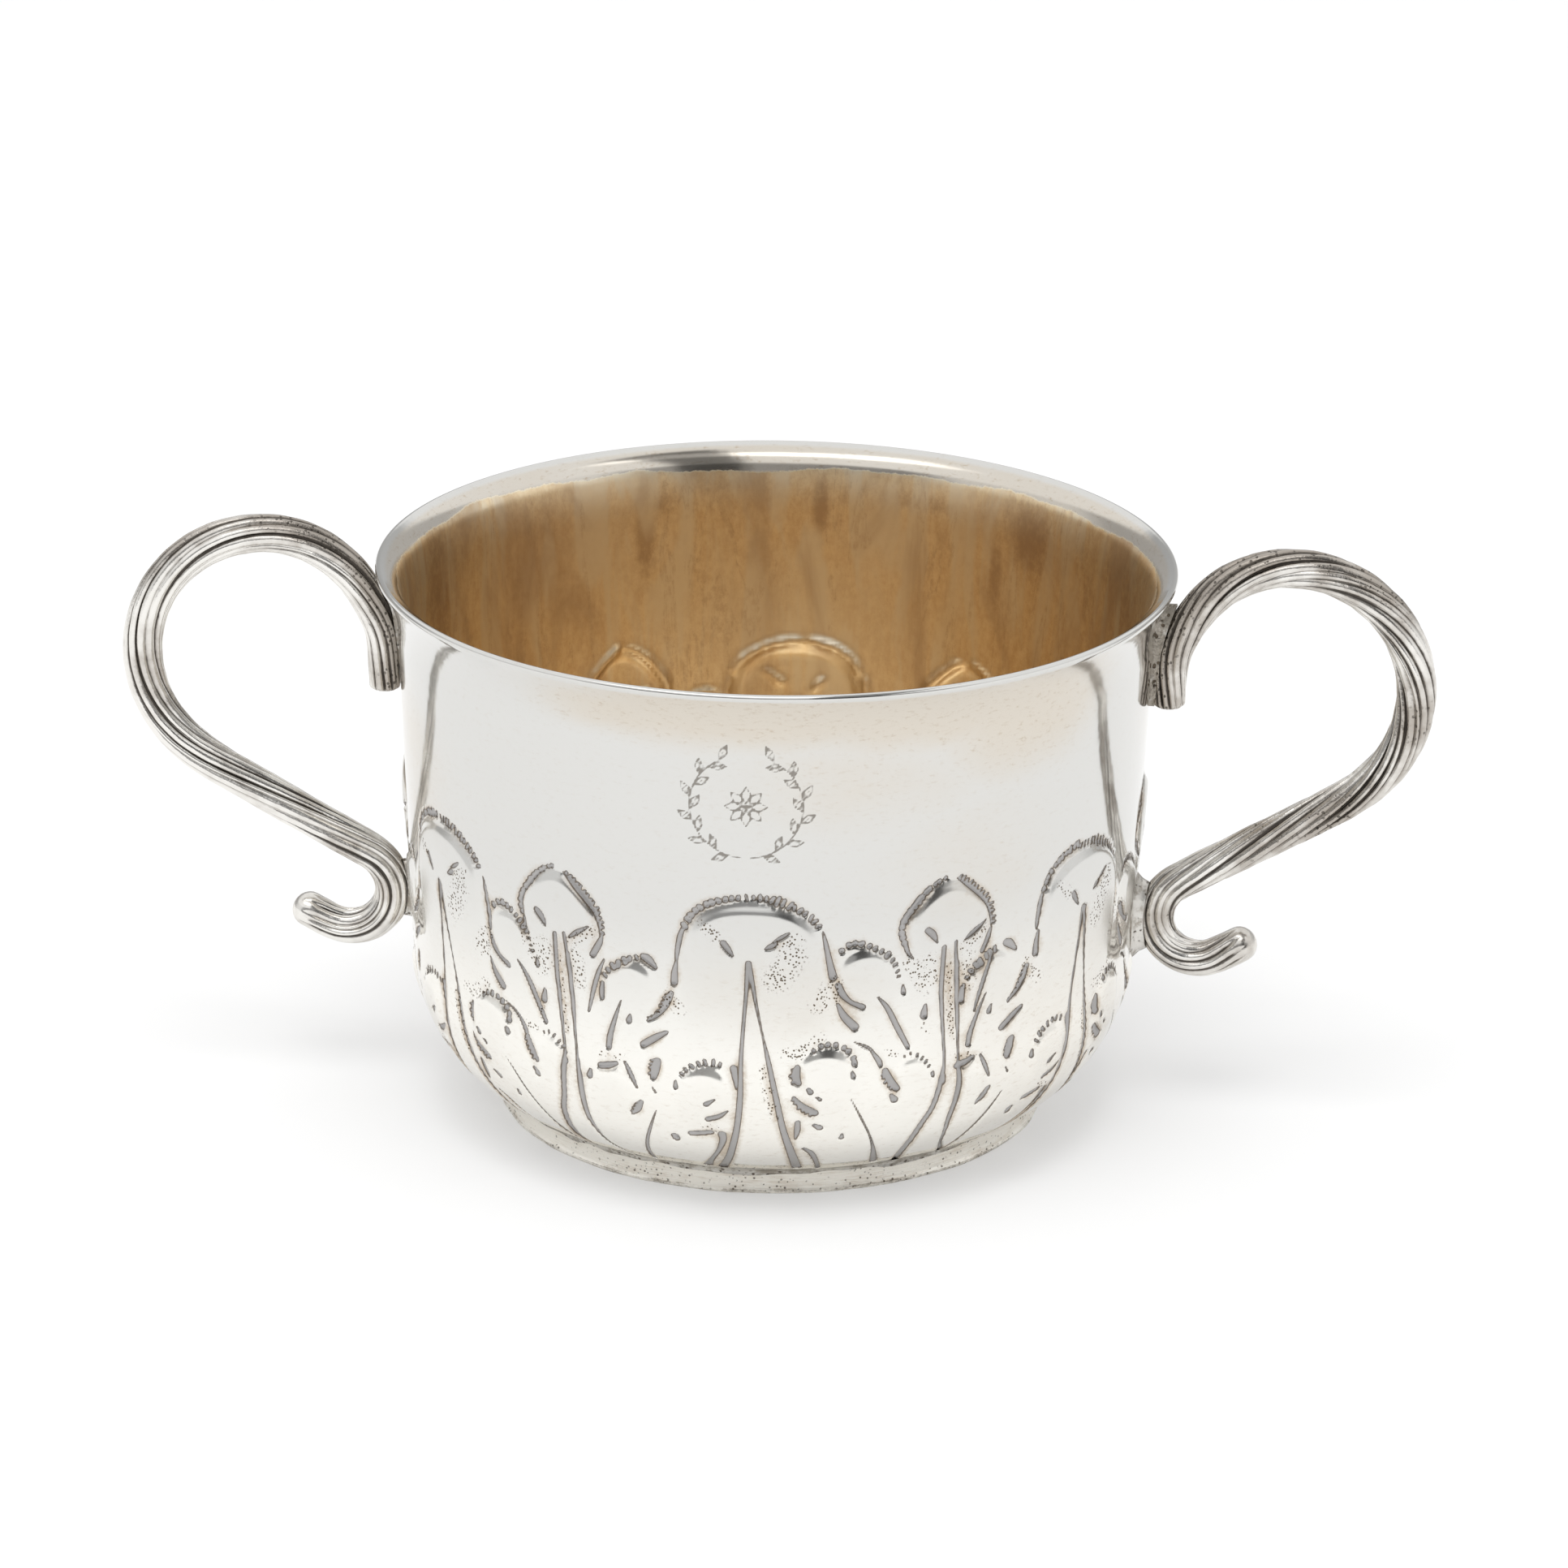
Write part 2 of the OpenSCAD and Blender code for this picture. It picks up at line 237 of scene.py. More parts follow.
# Broad leaf: an arched head with a punched edge, two eyes, and a stem of two lines that spread to the foot.
broad = {
    "grooves": [
        [(-8.9, 31.7, 1.0), (-8.85, 33, 0.8), (-8.6, 34.6, 0.25)],
        [(-8.65, 34.4, 0.3), (-8.5, 35.8, 0.6), (-8.2, 37.6, 0.7), (-7.9, 38.6, 0.55)],
        [(8.75, 38.9, 0.2), (9.1, 37.4, 0.55), (9.6, 35, 0.8), (10.05, 33, 1.1)],
        [(-2.9, 37.6, 0.85), (-2.4, 36.9, 0.8), (-1.8, 36, 0.3)],
        [(2.0, 37.0, 0.2), (2.7, 37.4, 0.75), (3.3, 37.7, 0.3)],
        [(3.0, 38.0, 0.2), (3.8, 38.5, 0.5), (4.7, 39.1, 0.3)],
        [
            (0.0, 35.1, 0.65), (-0.2, 31, 0.45), (-0.5, 27, 0.4), (-0.8, 22, 0.5), (-0.9, 17, 0.75),
            (-1.3, 13, 0.8), (-1.9, 10, 0.9), (-2.8, 7, 1.0), (-4.2, 4.2, 1.25),
        ],
        [
            (0.1, 35.1, 0.65), (0.6, 32, 0.5), (1.0, 29.5, 0.35), (1.8, 25.4, 0.2), (2.5, 22, 0.55),
            (3.5, 17, 0.75), (4.4, 12.5, 0.85), (5.4, 9, 1.05), (6.8, 4.6, 1.35),
        ],
        [(-1.7, 21, 0.9), (-1.5, 19.8, 0.7), (-1.3, 18.3, 0.25)],
        [(-8.8, 18.7, 0.3), (-8.8, 17.9, 0.65)],
        [(-5.0, 16.1, 0.75), (-3.9, 16.9, 0.15)],
        [(-4.9, 13.8, 0.8), (-3.6, 14.3, 0.75), (-2.4, 15.2, 0.2)],
        [(-7.3, 11.1, 0.9), (-6, 11.3, 1.0), (-4.7, 11.6, 0.8)],
        [(-9.6, 10.3, 1.1), (-9.5, 9.9, 1.0)],
        [(-3.3, 11.4, 1.1), (-3.3, 10.2, 0.9), (-4.1, 8.2, 0.6), (-5.5, 6, 0.7), (-6.4, 4.5, 1.2)],
        [(7.3, 18.5, 0.5), (7.6, 18.1, 0.75)],
        [(12.9, 21.6, 0.85), (12.95, 21.4, 0.8)],
        [(12.6, 20.4, 0.35), (12.8, 19.8, 0.7)],
        [(8.3, 17.4, 0.2), (8.8, 17, 0.45)],
        [(6.2, 13.6, 0.7), (6.2, 12.2, 0.8), (6.05, 10.9, 0.3)],
        [(8.2, 13.1, 0.4), (9, 12.6, 0.9)],
        [(12, 11.4, 0.2), (12, 10.7, 0.65)],
        [(7.2, 9.1, 0.4), (8.4, 8, 0.75), (9.4, 6, 0.6), (10.1, 4.2, 0.6)],
    ],
    "beads": [
        (0.8, 0.35, [
            (-7.8, 38.9, 0.66), (-6.6, 41, 0.66), (-4.6, 42.4, 0.72), (-2.3, 43.1, 0.72), (-0.9, 43.3, 0.6),
        ]),
        (0.74, 0.6, [
            (-0.6, 43.3, 0.36), (1.2, 43.35, 0.42), (3.2, 43, 0.5), (5.2, 42.2, 0.5), (7.2, 40.9, 0.46),
            (8.5, 39.3, 0.34),
        ]),
        (0.9, 0.45, [
            (-8.3, 19.3, 0.3), (-7.4, 20.5, 0.4), (-5.9, 21.3, 0.44), (-4.4, 21.6, 0.44), (-2.5, 21.2, 0.4),
        ]),
        (0.95, 0.2, [
            (7.6, 23.2, 0.5), (8.8, 24, 0.62), (10.4, 24.1, 0.64), (11.9, 23.4, 0.66), (12.8, 22.2, 0.6),
        ]),
    ],
    "combs": [
        (0.3, [(6.1, 19.3, 0.7), (5.8, 20.1, 1.0), (6.0, 21.3, 0.6)]),
        (0.3, [(8.2, 15, 0.9), (6.6, 16.1, 0.8), (5.6, 17.3, 0.3)]),
    ],
    "swells": [
        (0.5, 42.7, 8.7, 21, 0.65, 2.5, 1.3),
        (-5.3, 21.0, 3.4, 11, 0.45, 2.2, 1.1),
        (9.3, 23.6, 3.9, 12, 0.45, 2.2, 1.1),
    ],
    "matting": [
        (0.8, [(-5.4, 39.9, 0.1), (-3.8, 38.4, 0.5)]),
        (0.9, [(3.6, 37.4, 0.2), (5.8, 38.4, 0.5)]),
        (1.0, [(9.6, 32, 0.5), (8.4, 29.6, 1.2)]),
        (0.8, [(4.4, 23.2, 0.3), (6.6, 23.3, 0.9), (8.6, 25, 0.5)]),
        (0.6, [(1.9, 21, 0.3), (2.6, 17.5, 0.5), (3.4, 14, 0.2)]),
        (0.6, [(-5.4, 12.8, 0.2), (-3.6, 12.2, 0.3)]),
        (0.8, [(-9.6, 29.6, 0.4), (-8.2, 28.2, 0.6)]),
        (2.2, [(5.2, 36, 0.4), (3.4, 33, 0.4)]),
    ],
}

# Bud: a pointed head on a stem of two close lines, which spread where they reach the foot.
bud = {
    "grooves": [
        [(-5.6, 36.4, 0.6), (-5.3, 35.4, 0.5), (-4.7, 34.6, 0.2)],
        [(6.0, 36.7, 0.2), (5.6, 35.6, 0.8), (4.75, 34, 0.85)],
        [(6.2, 33.4, 0.2), (5.4, 31.6, 0.55), (4.6, 29, 0.6), (3.9, 26.2, 0.3)],
        [(-2.75, 28.1, 0.4), (-2.9, 26.8, 1.1)],
        [(-3.0, 38.1, 0.9), (-2.3, 37.4, 0.95), (-1.7, 36.3, 0.2)],
        [(2.0, 36.0, 0.2), (3.2, 36.9, 0.65), (4.9, 38, 0.2)],
        [
            (-0.7, 35.5, 0.6), (-0.7, 30, 0.65), (-0.4, 26, 0.5), (0.1, 20.5, 0.35), (-0.1, 18, 0.75),
            (-0.8, 14, 0.8), (-1.9, 11, 0.9), (-2.7, 7, 1.0), (-2.4, 5, 1.0), (-1.7, 3.4, 0.9),
        ],
        [
            (0.8, 36, 0.4), (1.0, 33.8, 0.45), (1.2, 32.5, 0.7), (1.6, 27, 0.6), (2, 21, 0.3),
            (2.3, 17, 0.75), (2.2, 12, 0.8), (2.4, 10, 0.55), (3.2, 7, 0.35), (5.1, 4.8, 0.55),
            (6.6, 3.2, 0.6),
        ],
    ],
    "beads": [
        (0.72, 0.1, [
            (-0.4, 44.4, 0.55), (-1.8, 43.8, 0.6), (-3.2, 42.8, 0.78), (-4.5, 41.3, 0.85),
            (-5.7, 39.7, 0.85), (-6.1, 38.2, 0.8), (-5.7, 36.6, 0.7),
        ]),
    ],
    "combs": [
        (0.5, [
            (0.9, 44.1, 0.2), (2.6, 42.7, 0.5), (4.1, 41.3, 0.5), (5.3, 39.8, 0.4), (5.9, 38.1, 0.3),
            (6, 36.9, 0.2),
        ]),
    ],
    "swells": [(0, 44.0, 5.6, 17, 0.6, 1.6, 1.2)],
    "matting": [
        (0.9, [(-5.4, 34.6, 0.4), (-4.0, 32.6, 0.9), (-3.0, 30.2, 0.5)]),
        (0.8, [(1.8, 35, 0.3), (4.8, 37, 0.4)]),
        (0.4, [(0.1, 33, 0.3), (0.4, 28, 0.45), (1.1, 23.2, 0.3)]),
        (1.4, [(-2.4, 34, 0.4), (-2.2, 31, 0.3)]),
        (1.2, [(2.6, 33.6, 0.3), (2.8, 30, 0.2)]),
        (0.5, [(-2.8, 25.6, 0.4), (-2.6, 24.4, 0.2)]),
    ],
}

# Lobes that fill between a broad leaf and the buds on its right and left, from the broad leaf's axis.
right_lobes = {
    "grooves": [
        [(10.7, 31.9, 0.9), (11.2, 30.8, 0.9), (12.2, 29.7, 0.6), (13.7, 28.9, 0.8)],
        [(10.7, 29.4, 0.4), (11.5, 27.8, 1.0), (12.8, 26.3, 1.2)],
        [(18.7, 31.2, 0.2), (18.8, 30.2, 0.7)],
        [(15.5, 30.1, 0.2), (16.8, 28.4, 0.65), (18.2, 25.6, 0.75), (19.6, 22.9, 0.6)],
        [(12.8, 24.3, 0.1), (14.4, 23.5, 0.35), (15.2, 22.8, 0.3)],
        [(15.0, 22.9, 0.3), (15.9, 21.6, 0.7), (16.2, 20.9, 0.6)],
        [(17.7, 16.7, 0.4), (18.2, 16, 1.0)],
        [(23, 19, 0.45), (23.1, 18.6, 0.5)],
        [
            (12.6, 16.8, 0.05), (14.3, 13.5, 0.22), (15.6, 11, 0.2), (16.6, 8.8, 0.35), (17.6, 6.4, 0.75),
            (18.4, 4.8, 0.9),
        ],
    ],
    "beads": [
        (0.9, 0.2, [
            (10.8, 36.1, 0.6), (11.6, 36.9, 0.72), (12.8, 37.2, 0.74), (14.2, 36.8, 0.6), (15.4, 36.2, 0.5),
        ]),
        (0.85, 0.35, [
            (15.6, 36.1, 0.5), (16.6, 35.4, 0.62), (17.4, 34.4, 0.4), (17.9, 33.2, 0.3), (18.2, 31.9, 0.3),
        ]),
        (0.85, 0.3, [(18.8, 21.6, 0.2), (20.2, 22, 0.24), (21.8, 20.9, 0.24), (22.8, 19.4, 0.3)]),
    ],
    "combs": [(0.3, [(18.3, 17.6, 0.8), (17.5, 18.7, 0.85), (16.8, 20.1, 0.7)])],
    "swells": [(14.2, 36.4, 4.1, 13, 0.45, 2.2, 1.1), (20.3, 21.5, 2.5, 8, 0.3, 2.0, 0.9)],
    "matting": [
        (0.7, [(10.6, 32.6, 0.3), (10.2, 30, 0.6)]),
        (0.5, [(16.8, 22.5, 0.2), (18.2, 22.3, 0.3)]),
    ],
}
left_lobes = {
    "grooves": [
        [(-18.1, 30.2, 0.6), (-18.2, 29.2, 0.8), (-18.2, 28.2, 0.7)],
        [(-12.7, 34.5, 1.0), (-12.1, 34.2, 1.2), (-11.2, 33.3, 0.5)],
        [(-15.5, 28.5, 0.1), (-16.4, 26, 0.5), (-17.2, 23.4, 0.8), (-17.4, 21.9, 0.85)],
        [(-14.4, 26.7, 0.3), (-14.6, 25.9, 0.85)],
        [(-9.9, 25, 0.5), (-11.3, 24.1, 0.95), (-12.8, 23, 1.0)],
        [(-20.0, 18.4, 0.3), (-20.2, 17.5, 0.9)],
        [(-18.6, 19.2, 0.85), (-17.4, 19.5, 0.9), (-16.4, 19.9, 0.5)],
        [(-15.3, 20.3, 0.3), (-14.6, 18.9, 0.6), (-13.8, 17.1, 0.3)],
        [(-11.8, 17.5, 0.1), (-11.4, 16.8, 0.3)],
        [(-11.5, 14.2, 0.05), (-12.6, 11.6, 0.3), (-13.9, 8.6, 0.4), (-14.6, 6.4, 0.5), (-14.9, 4.4, 0.6)],
    ],
    "beads": [
        (0.85, 0.45, [
            (-17.9, 31, 0.4), (-17, 32.4, 0.6), (-15.8, 33.2, 0.72), (-14.7, 33.9, 0.6), (-13.5, 34.3, 0.4),
        ]),
    ],
    "combs": [
        (0.3, [(-12.2, 26.3, 0.2), (-11, 27.1, 0.4), (-9.9, 28.7, 0.75), (-9.3, 30.2, 0.6)]),
        (0.3, [(-11.6, 18.9, 0.8), (-11.4, 19.8, 1.05), (-11.1, 21, 0.9)]),
        (0.25, [(-14.8, 13.1, 0.3), (-14, 13.9, 0.7), (-13.4, 15.1, 0.5)]),
    ],
    "swells": [(-14.6, 33.9, 3.7, 12, 0.45, 2.2, 1.1), (-17, 19.5, 2.8, 8, 0.3, 2.0, 0.9)],
    "matting": [
        (0.5, [(-18.6, 20.9, 0.2), (-15.4, 20.9, 0.3)]),
        (0.6, [(-9, 31.4, 0.2), (-10.6, 27.4, 0.3)]),
    ],
}


# A groove is cut a little narrower than it is drawn.
cut_share = 0.84


def chase(axis_deg, pattern, seed, looseness):
    """Works one leaf or group of lobes. Looseness is how far the hand strayed from the pattern."""
    rng = np.random.default_rng(seed)
    axis = math.radians(axis_deg)
    stretch = 1 + looseness * rng.uniform(-0.07, 0.07)
    lift = looseness * rng.uniform(-0.6, 0.6)

    def strayed(points):
        aside, above = looseness * rng.uniform(-0.3, 0.3, 2)
        return [(across * stretch + aside, height + lift + above, width) for across, height, width in points]

    for points in pattern["grooves"]:
        cut = [(across, height, cut_share * width) for across, height, width in strayed(points)]
        press(carved, axis, cut)
    for pitch, size, points in pattern["beads"]:
        beads(axis, strayed(points), pitch, size, rng)
    for size, points in pattern["combs"]:
        comb(axis, strayed(points), size, rng)
    for soft, points in pattern["matting"]:
        press(matted, axis, strayed(points), soft)
    for across, top, *rest in pattern["swells"]:
        swell(axis, across * stretch, top + lift, *rest)


# Six broad leaves and six buds go round the bowl. The first of each, at the front, keeps to its pattern.
leaf_axes = [(0.5, 31.5), (59, 90), (120.5, 150.5), (180, 210), (240.5, 270), (302.5, 330)]
for number, (broad_deg, bud_deg) in enumerate(leaf_axes):
    looseness = 0.0 if number == 0 else 1.0
    chase(broad_deg, broad, 10 + number, looseness)
    chase(broad_deg, right_lobes, 30 + number, looseness)
    chase(broad_deg, left_lobes, 50 + number, looseness)
    chase(bud_deg, bud, 70 + number, looseness)

# A small wreath is engraved above the middle leaf: two leafy sprigs round a flower of eight petals.
wreath_axis = 0.0
wreath_z = 55.0
wreath_r = 6.6
engraved_w = 0.2
leaf_spread = math.radians(38)


def pointing(turn):
    return np.array([math.cos(turn), math.sin(turn)])


def engrave(side, points, width):
    """Cuts a fine line through points from the wreath's middle, for its right or left side."""
    press(engraved, wreath_axis, [(side * x, wreath_z + z, width) for x, z in points])


def leaflet(side, root, ahead, widest, length, bow):
    """Engraves a narrow leaf or a petal: two bowed lines from its root to its tip."""
    across = np.array([-ahead[1], ahead[0]])
    for bent in (-bow, bow):
        engrave(side, [root, root + widest * ahead + bent * across, root + length * ahead], engraved_w)


for side in (-1, 1):
    stem_turns = np.radians(np.linspace(-86, 58, 9))
    engrave(side, [wreath_r * pointing(turn) for turn in stem_turns], engraved_w)
    for step, turn in enumerate(np.radians(np.linspace(-72, 62, 11))):
        root = wreath_r * pointing(turn)
        ahead = pointing(turn + math.pi / 2 + (leaf_spread if step % 2 else -leaf_spread))
        leaflet(side, root, ahead, 1.1, 2.1, 0.42)
        engrave(side, [root + 0.5 * ahead, root + 1.6 * ahead], 0.5 * engraved_w)
for turn in np.radians(np.arange(0, 360, 45)):
    leaflet(1, 0.5 * pointing(turn), pointing(turn), 1.0, 2.0, 0.5)
engrave(1, [(-0.1, 0), (0.1, 0)], 0.5)


def softened(layer, radius):
    """The layer blurred over a radius in millimetres, round the bowl and up the wall."""
    reach = int(math.ceil(2.5 * radius / grid))
    steps = np.arange(-reach, reach + 1)
    weights = np.exp(-0.5 * (steps * grid / radius) ** 2)
    weights /= weights.sum()
    around = sum(weight * np.roll(layer, step, axis=1) for step, weight in zip(steps, weights))
    padded = np.pad(around, ((reach, reach), (0, 0)), mode="edge")
    rows = reach + np.arange(len(layer))
    return sum(weight * padded[rows + step] for step, weight in zip(steps, weights))


# The layers become depths in millimetres, softened so that no edge is sharper than a punch leaves it.
groove_depth = 0.32
groove_depth_inside = 1.8 * groove_depth
engraving_depth = 0.07
sunk = ease((softened(carved, 0.12) - 0.25) / 0.4)
browned = np.clip(2.3 * softened(ease((carved - 0.4) / 0.2), 0.75), 0, 1)
relief = softened(swollen, 0.35) - groove_depth * sunk - engraving_depth * ease((engraved - 0.3) / 0.3)
inner_relief = softened(swollen, 0.4) - groove_depth_inside * softened(sunk, 0.2)
satin = softened(ease(swollen / 0.25), 0.8)


def patches(places):
    """Soft patches on the wall, each at its degrees round from the front and its height.
    The rest of its row is half its width, half its height, and its share."""
    layer = np.zeros_like(carved)
    for patch_deg, height, half_w, half_h, share in places:
        away = (np.arange(columns) * turn_step - math.radians(patch_deg) + math.pi) % (2 * math.pi) - math.pi
        beside = away * leaf_r / half_w
        above = (worked_z - height) / half_h
        layer = np.maximum(layer, share * np.exp(-0.5 * (beside[None, :] ** 2 + above[:, None] ** 2)))
    return layer


# Warm bloom lies on the outside, and the gilding inside is smeared dark in places and rubbed light in others.
bloomed = patches([
    (2, 67, 17, 3.4, 1.2), (26, 66, 12, 4, 1.0), (44, 64, 10, 6, 0.9), (-18, 66, 9, 2.5, 0.9),
    (16, 58, 14, 6, 0.5), (36, 46, 12, 8, 0.4), (0, 10, 40, 12, 0.4), (60, 14, 30, 16, 0.6),
    (-62, 12, 30, 14, 0.5), (6, 30, 12, 6, 0.45), (104, 55, 14, 8, 0.8), (150, 60, 18, 6, 0.9),
    (196, 50, 13, 10, 0.6), (238, 60, 14, 5, 0.8), (286, 48, 13, 9, 0.6), (130, 12, 40, 12, 0.7),
    (200, 14, 40, 12, 0.7), (255, 10, 30, 12, 0.6),
])
smeared = patches([
    (206, 59, 1.2, 5, 0.9), (204, 63, 2.0, 2, 0.6), (177, 62, 0.9, 3.6, 0.9), (139, 62, 3.2, 4, 0.8),
    (146, 56, 1.0, 5, 0.7), (252, 60, 4, 9, 0.7), (224, 61, 1.2, 5, 0.5), (112, 60, 5, 9, 0.6),
    (160, 64, 5, 1.2, 0.6), (192, 65, 6, 1.0, 0.5), (60, 58, 2.2, 6, 0.8), (20, 61, 1.4, 5, 0.8),
    (330, 60, 3, 5, 0.7), (290, 57, 1.6, 7, 0.7), (0, 64, 6, 1.4, 0.5),
])
gilt_rubbed = patches([
    (180, 47, 12, 6, 1.0), (168, 54, 5, 8, 0.5), (214, 58, 6, 6, 0.6), (232, 50, 6, 9, 0.4),
    (30, 48, 12, 7, 0.7), (310, 50, 10, 8, 0.6), (90, 45, 10, 6, 0.6),
])

# The sheet's vertices: rings up the outside, round the lip's edge, and down the inside with half the columns.
turns = np.arange(columns) * turn_step
inner_columns = columns // 2
inner_worked = worked[::-2]
inner_lengths = np.concatenate([
    [section_end],
    inner_worked,
    np.arange(worked[0] - coarse, base_end + coarse / 2, -coarse),
    [base_end],
    base_rings[::-1],
])
first_inner = int(np.argmax(inner_lengths <= worked[-1]))


def ring(radius, height, at_turns):
    """Points round the bowl: a turn of 0 faces -Y, and turns grow towards +X."""
    return np.stack([radius * np.sin(at_turns), -radius * np.cos(at_turns), height + 0 * at_turns], -1)


def up_outside(layer):
    """A layer of the worked wall on every ring of the outside."""
    whole = np.zeros((len(outer_lengths), columns))
    whole[first_worked:first_worked + len(worked)] = layer
    return whole


def down_inside(layer):
    """A layer of the worked wall on every ring of the inside."""
    whole = np.zeros((len(inner_lengths), inner_columns))
    whole[first_inner:first_inner + len(inner_worked)] = layer[::-2, ::2]
    return whole


raised = up_outside(relief)
out_r, out_z, out_nr, out_nz = (row[:, None] for row in section(outer_lengths))
outside = ring(out_r + out_nr * raised, out_z + out_nz * raised, turns[None, :])
edge_rings = 6
edge_turns = lip_end - math.pi + math.pi * np.arange(1, edge_rings + 1)[:, None] / (edge_rings + 1)
lip_edge = ring(
    lip_x + lip_mid_r * math.cos(lip_end) + wall_t / 2 * np.cos(edge_turns),
    lip_z + lip_mid_r * math.sin(lip_end) + wall_t / 2 * np.sin(edge_turns),
    turns[None, :],
)

# The rim is a little thicker than the wall: inside, the sheet stays nearly upright, then turns out tightly.
rim_turn_z = 67.1
rim_lean = math.radians(11)
neck_in_x = neck_x - wall_t * math.cos(wall_lean)
neck_in_z = neck_z + wall_t * math.sin(wall_lean)
flare_r = (rim_turn_z - neck_in_z) / (math.sin(rim_lean) - math.sin(wall_lean))
rim_turn_x = neck_in_x + flare_r * (math.cos(wall_lean) - math.cos(rim_lean))
edge_x = lip_x + (lip_r + wall_t) * math.cos(lip_end)
edge_z = lip_z + (lip_r + wall_t) * math.sin(lip_end)
edge_lean = 2 * math.atan2(edge_x - rim_turn_x, edge_z - rim_turn_z) - rim_lean
turn_r = (edge_z - rim_turn_z) / (math.sin(edge_lean) - math.sin(rim_lean))
rim_start = length_at(rim_turn_z)
flared = np.clip((inner_lengths - wall_end) / (rim_start - wall_end), 0, 1)[:, None]
turned = np.clip((inner_lengths - rim_start) / (section_end - rim_start), 0, 1)[:, None]
flare_a = wall_lean + (rim_lean - wall_lean) * flared
turn_a = rim_lean + (edge_lean - rim_lean) * turned
flare_x = flare_r * (math.cos(wall_lean) - np.cos(flare_a))
flare_z = flare_r * (np.sin(flare_a) - math.sin(wall_lean))
turn_x = turn_r * (math.cos(rim_lean) - np.cos(turn_a))
turn_z = turn_r * (np.sin(turn_a) - math.sin(rim_lean))
in_r, in_z, in_nr, in_nz = (row[:, None] for row in section(inner_lengths))
in_lip = (inner_lengths > wall_end)[:, None]
sheet_r = np.where(in_lip, neck_in_x + flare_x + turn_x, in_r - wall_t * in_nr)
sheet_z = np.where(in_lip, neck_in_z + flare_z + turn_z, in_z - wall_t * in_nz)
behind = down_inside(inner_relief)
inside = ring(sheet_r + in_nr * behind, sheet_z + in_nz * behind, turns[None, ::2])


def quads(first, count, rings):
    """Faces between rings of points that follow one another."""
    start = first + np.arange(rings - 1)[:, None] * count
    here = start + np.arange(count)
    after = start + (np.arange(count) + 1) % count
    return np.stack([here, after, after + count, here + count], -1).reshape(-1, 4).tolist()


def fan(tip, first, count, reverse):
    """Faces that close a ring of points to a tip."""
    for j in range(count):
        here, after = first + j, first + (j + 1) % count
        yield (tip, after, here) if reverse else (tip, here, after)


def build(name, points, faces):
    """A smooth-shaded mesh object from points in millimetres."""
    mesh = bpy.data.meshes.new(name)
    mesh.from_pydata((points * MM).tolist(), [], faces)
    mesh.update()
    mesh.polygons.foreach_set("use_smooth", np.ones(len(mesh.polygons), bool))
    made = bpy.data.objects.new(name, mesh)
    bpy.context.collection.objects.link(made)
    return made


def paint(piece, layer_name, values):
    """A share from 0 to 1 at each vertex, which the piece's finish reads."""
    layer = piece.data.attributes.new(layer_name, "FLOAT", "POINT")
    layer.data.foreach_set("value", np.asarray(values, np.float32).ravel())


shell_rings = len(outer_lengths) + edge_rings
inner_first = shell_rings * columns
apex_out = inner_first + len(inner_lengths) * inner_columns
apex_in = apex_out + 1
last_inner = apex_out - inner_columns
lip_last = inner_first - columns
bowl_points = np.vstack([
    outside.reshape(-1, 3), lip_edge.reshape(-1, 3), inside.reshape(-1, 3),
    [[0, 0, base_lift], [0, 0, base_lift + wall_t]],
])
bowl_faces = quads(0, columns, shell_rings) + quads(inner_first, inner_columns, len(inner_lengths))
for j in range(inner_columns):
    here, after = inner_first + j, inner_first + (j + 1) % inner_columns
    left, middle, right = lip_last + 2 * j, lip_last + 2 * j + 1, lip_last + (2 * j + 2) % columns
    bowl_faces += [(left, middle, here), (middle, after, here), (middle, right, after)]
bowl_faces += fan(apex_in, last_inner, inner_columns, False)
bowl_faces += fan(apex_out, 0, columns, True)
bowl = build("silver_bowl", bowl_points, bowl_faces)


def over_shell(layer, inner_layer):
    """Values for every vertex of the bowl from a layer of the worked wall, outside and inside."""
    on_edge = np.zeros(edge_rings * columns)
    return np.concatenate([up_outside(layer).ravel(), on_edge, down_inside(inner_layer).ravel(), [0, 0]])


# Bloom lies on the lip's inside too, and painted light brightens the outside towards the foot.
nothing = np.zeros_like(carved)
lip_bloom = nothing + 0.8 * ease((worked_z - 64) / 2)[:, None]
foot_painted_light = nothing + ease((42 - worked_z) / 26)[:, None]
for layer_name, layer, inner_layer in [
    ("groove", carved, nothing),
    ("engraving", engraved, nothing),
    ("browned", browned, browned),
    ("matting", matted, nothing),
    ("satin", satin, nothing),
    ("bloom", bloomed, lip_bloom),
    ("smear", nothing, smeared),
    ("wear_and_painted_light", foot_painted_light, gilt_rubbed),
]:
    paint(bowl, layer_name, over_shell(layer, inner_layer))

# Gilding starts below the lip along an uneven brushed line, and covers the rest of the inside.
half_turns = turns[::2]
gilt_fade = 2.0
gilt_top = 67.7 - 0.6 * np.cos(2 * half_turns)
for waves, size, phase in ((5, 0.26, 0.6), (11, 0.2, 0.0), (23, 0.12, 0.0)):
    gilt_top = gilt_top + size * np.sin(waves * half_turns + phase)
gilt_inside = np.clip((gilt_top[None, :] - inside[:, :, 2]) / gilt_fade + 0.5, 0, 1)
paint(bowl, "gilt", np.concatenate([np.zeros(inner_first), gilt_inside.ravel(), [0, 1]]))


